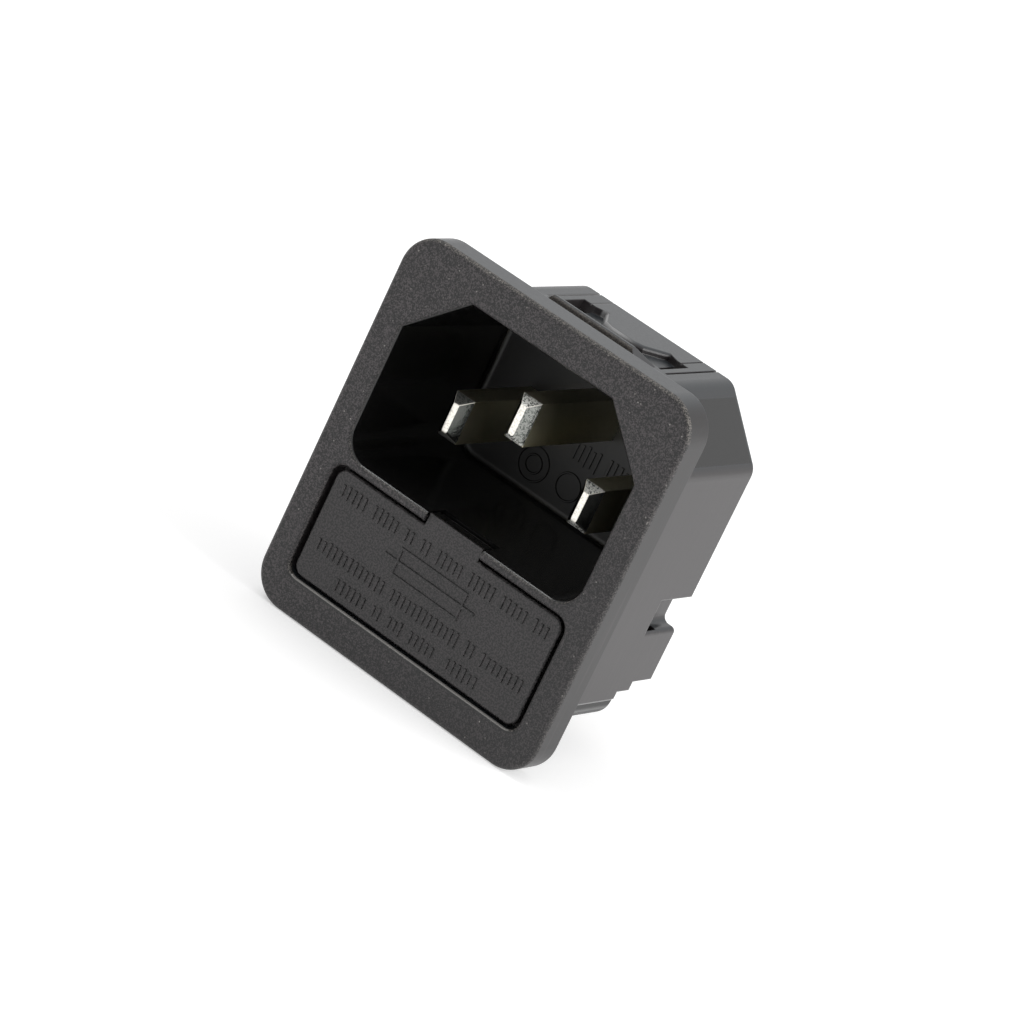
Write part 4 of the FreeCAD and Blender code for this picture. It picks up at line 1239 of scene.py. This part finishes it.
@dataclass
class Studio:
    """Floor, lamps, white surroundings and the camera."""

    floor_height: float
    floor_size: float = 4.0
    lens: float = 171.93
    clip: Span = (0.01, 20.0)
    place: Place = (0.17219, -0.32947, 0.12167)
    aim: Place = (0.0029356, -0.0012062, 0.0009041)
    roll: float = 25.68
    surround: float = 0.6
    lamps: tuple[Lamp, ...] = (
        Lamp("box_right", (0.6, 0.15, 0.25), 0.5, 3.4),
        Lamp("box_top", (-0.1, 0.1, 0.8), 0.6, 0.8),
        Lamp("edge_light", (-0.3, -0.21, 0.58), 0.14, 0.5),
    )

    @staticmethod
    def _stand(thing: Object, place: Place, look: Vector, roll: float = 0.0) -> None:
        """Put a camera or a lamp in its place.

        Args:
            thing: the camera or lamp.
            place: where it stands.
            look: the direction that it faces.
            roll: its turn about that direction, in degrees.
        """
        turn = look.to_track_quat("-Z", "Y").to_matrix() @ Matrix.Rotation(math.radians(roll), 3, "Z")
        thing.matrix_world = Matrix.Translation(place) @ turn.to_4x4()

    def camera(self) -> None:
        """Stand the camera, turned about its line of sight."""
        data = bpy.data.cameras.new("camera")
        data.lens = self.lens
        data.clip_start, data.clip_end = self.clip
        camera = new_object("camera", data)
        self._stand(camera, self.place, Vector(self.aim) - Vector(self.place), self.roll)
        bpy.context.scene.camera = camera

    def floor(self) -> None:
        """Lay a wide plain floor under the object."""
        form = bmesh.new()
        bmesh.ops.create_grid(form, x_segments=1, y_segments=1, size=self.floor_size)
        for vertex in form.verts:
            vertex.co.z = self.floor_height
        piece = new_object("floor", pour(form, bpy.data.meshes.new("floor")))
        dress(piece, StudioFloor().build())
        piece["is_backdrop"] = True

    def surroundings(self) -> None:
        """White to the camera and to reflections, and an even soft glow for everything else."""
        world = bpy.data.worlds.new("surroundings")
        bpy.context.scene.world = world
        world.use_nodes = True
        tree = world.node_tree
        tree.nodes.clear()
        path = tree.nodes.new("ShaderNodeLightPath").outputs
        seen = path["Is Camera Ray"]
        for ray in ("Is Glossy Ray", "Is Transmission Ray"):
            seen = add_node(tree, "ShaderNodeMath", {0: seen, 1: path[ray]}, operation="MAXIMUM").outputs[0]
        level = add_node(tree, "ShaderNodeMapRange", {"Value": seen, "To Min": self.surround, "To Max": 1.0})
        glow = add_node(tree, "ShaderNodeBackground", {"Color": grey(1.0), "Strength": level.outputs[0]})
        add_node(tree, "ShaderNodeOutputWorld", {"Surface": glow.outputs[0]})

    def build(self) -> None:
        """Set up the whole studio."""
        self.camera()
        self.floor()
        self.surroundings()
        for lamp in self.lamps:
            data = bpy.data.lights.new(lamp.name, "AREA")
            data.shape = "SQUARE"
            data.size = lamp.size
            data.energy = lamp.power
            self._stand(new_object(lamp.name, data), lamp.place, -Vector(lamp.place))
        bpy.context.scene.view_settings.view_transform = "Standard"


# ---- object


@dataclass
class Inlet:
    """The dressed inlet: every solid's finish, and the finer pieces over them.

    The blades' rows give each blade's painted reflection: how bright the sides and the upper and lower slopes
    of the struck tip are painted, and to what share painted shade dims the blade behind it.
    """

    nodes: dict[str, Object]
    housing: Material = field(init=False)
    drawer: Material = field(init=False)
    blades: tuple[tuple[str, float, float, float], ...] = (
        ("line_blade", 0.2, 0.95, 0.7), ("neutral_blade", 0.085, 0.2, 0.6), ("earth_blade", 0.24, 0.9, 0.85),
    )

    def dress_solids(self) -> None:
        """Give every solid its finish."""
        self.housing = HousingMoulding(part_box("housing")[0].y).build()
        self.drawer = DrawerMoulding(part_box("fuse_drawer")[0].y).build()
        cap = SheetMetal("nickel_cap", (0.6, 0.58, 0.53, 1.0), 0.3).build()
        tin = SheetMetal("tin_plate", (0.45, 0.44, 0.41, 1.0), 0.36).build()
        brass = SheetMetal("spring_brass", (0.6, 0.43, 0.19, 1.0), 0.34).build()
        wire = SheetMetal("fuse_wire", (0.5, 0.5, 0.48, 1.0), 0.34).build()
        glass = ClearGlass().build()
        named = {
            "housing": self.housing, "fuse_drawer": self.drawer,
            "terminal_plate": PlateMoulding().build(),
            "supply_contact": brass, "load_contact": brass,
        }
        for name, node in self.nodes.items():
            finish = named.get(name, tin)
            for part, material in (("_glass", glass), ("_element", wire), ("_cap_", cap)):
                if part in name:
                    finish = material
            dress(node, finish)
            LOG.info("dressed %s", name)

    def build(self) -> None:
        """Dress the solids, then add the blades and the moulded marks."""
        self.dress_solids()
        for node, cheek, brow, shade in self.blades:
            finish = NickelPlate("nickel_" + node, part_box(node)[0].y, cheek, brow, shade)
            ContactBlade(node, finish.build()).build()
        DrawerMarks(self.drawer).build()
        SocketMarks(self.housing).build()


def main() -> None:
    """Build the looks in order and report each piece."""
    logging.basicConfig(level=logging.INFO, format="%(name)s: %(message)s")
    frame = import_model()
    solid_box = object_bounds()
    Studio(floor_height=solid_box[0][2]).build()
    Inlet(frame["nodes"]).build()


if __name__ == "__main__":
    main()
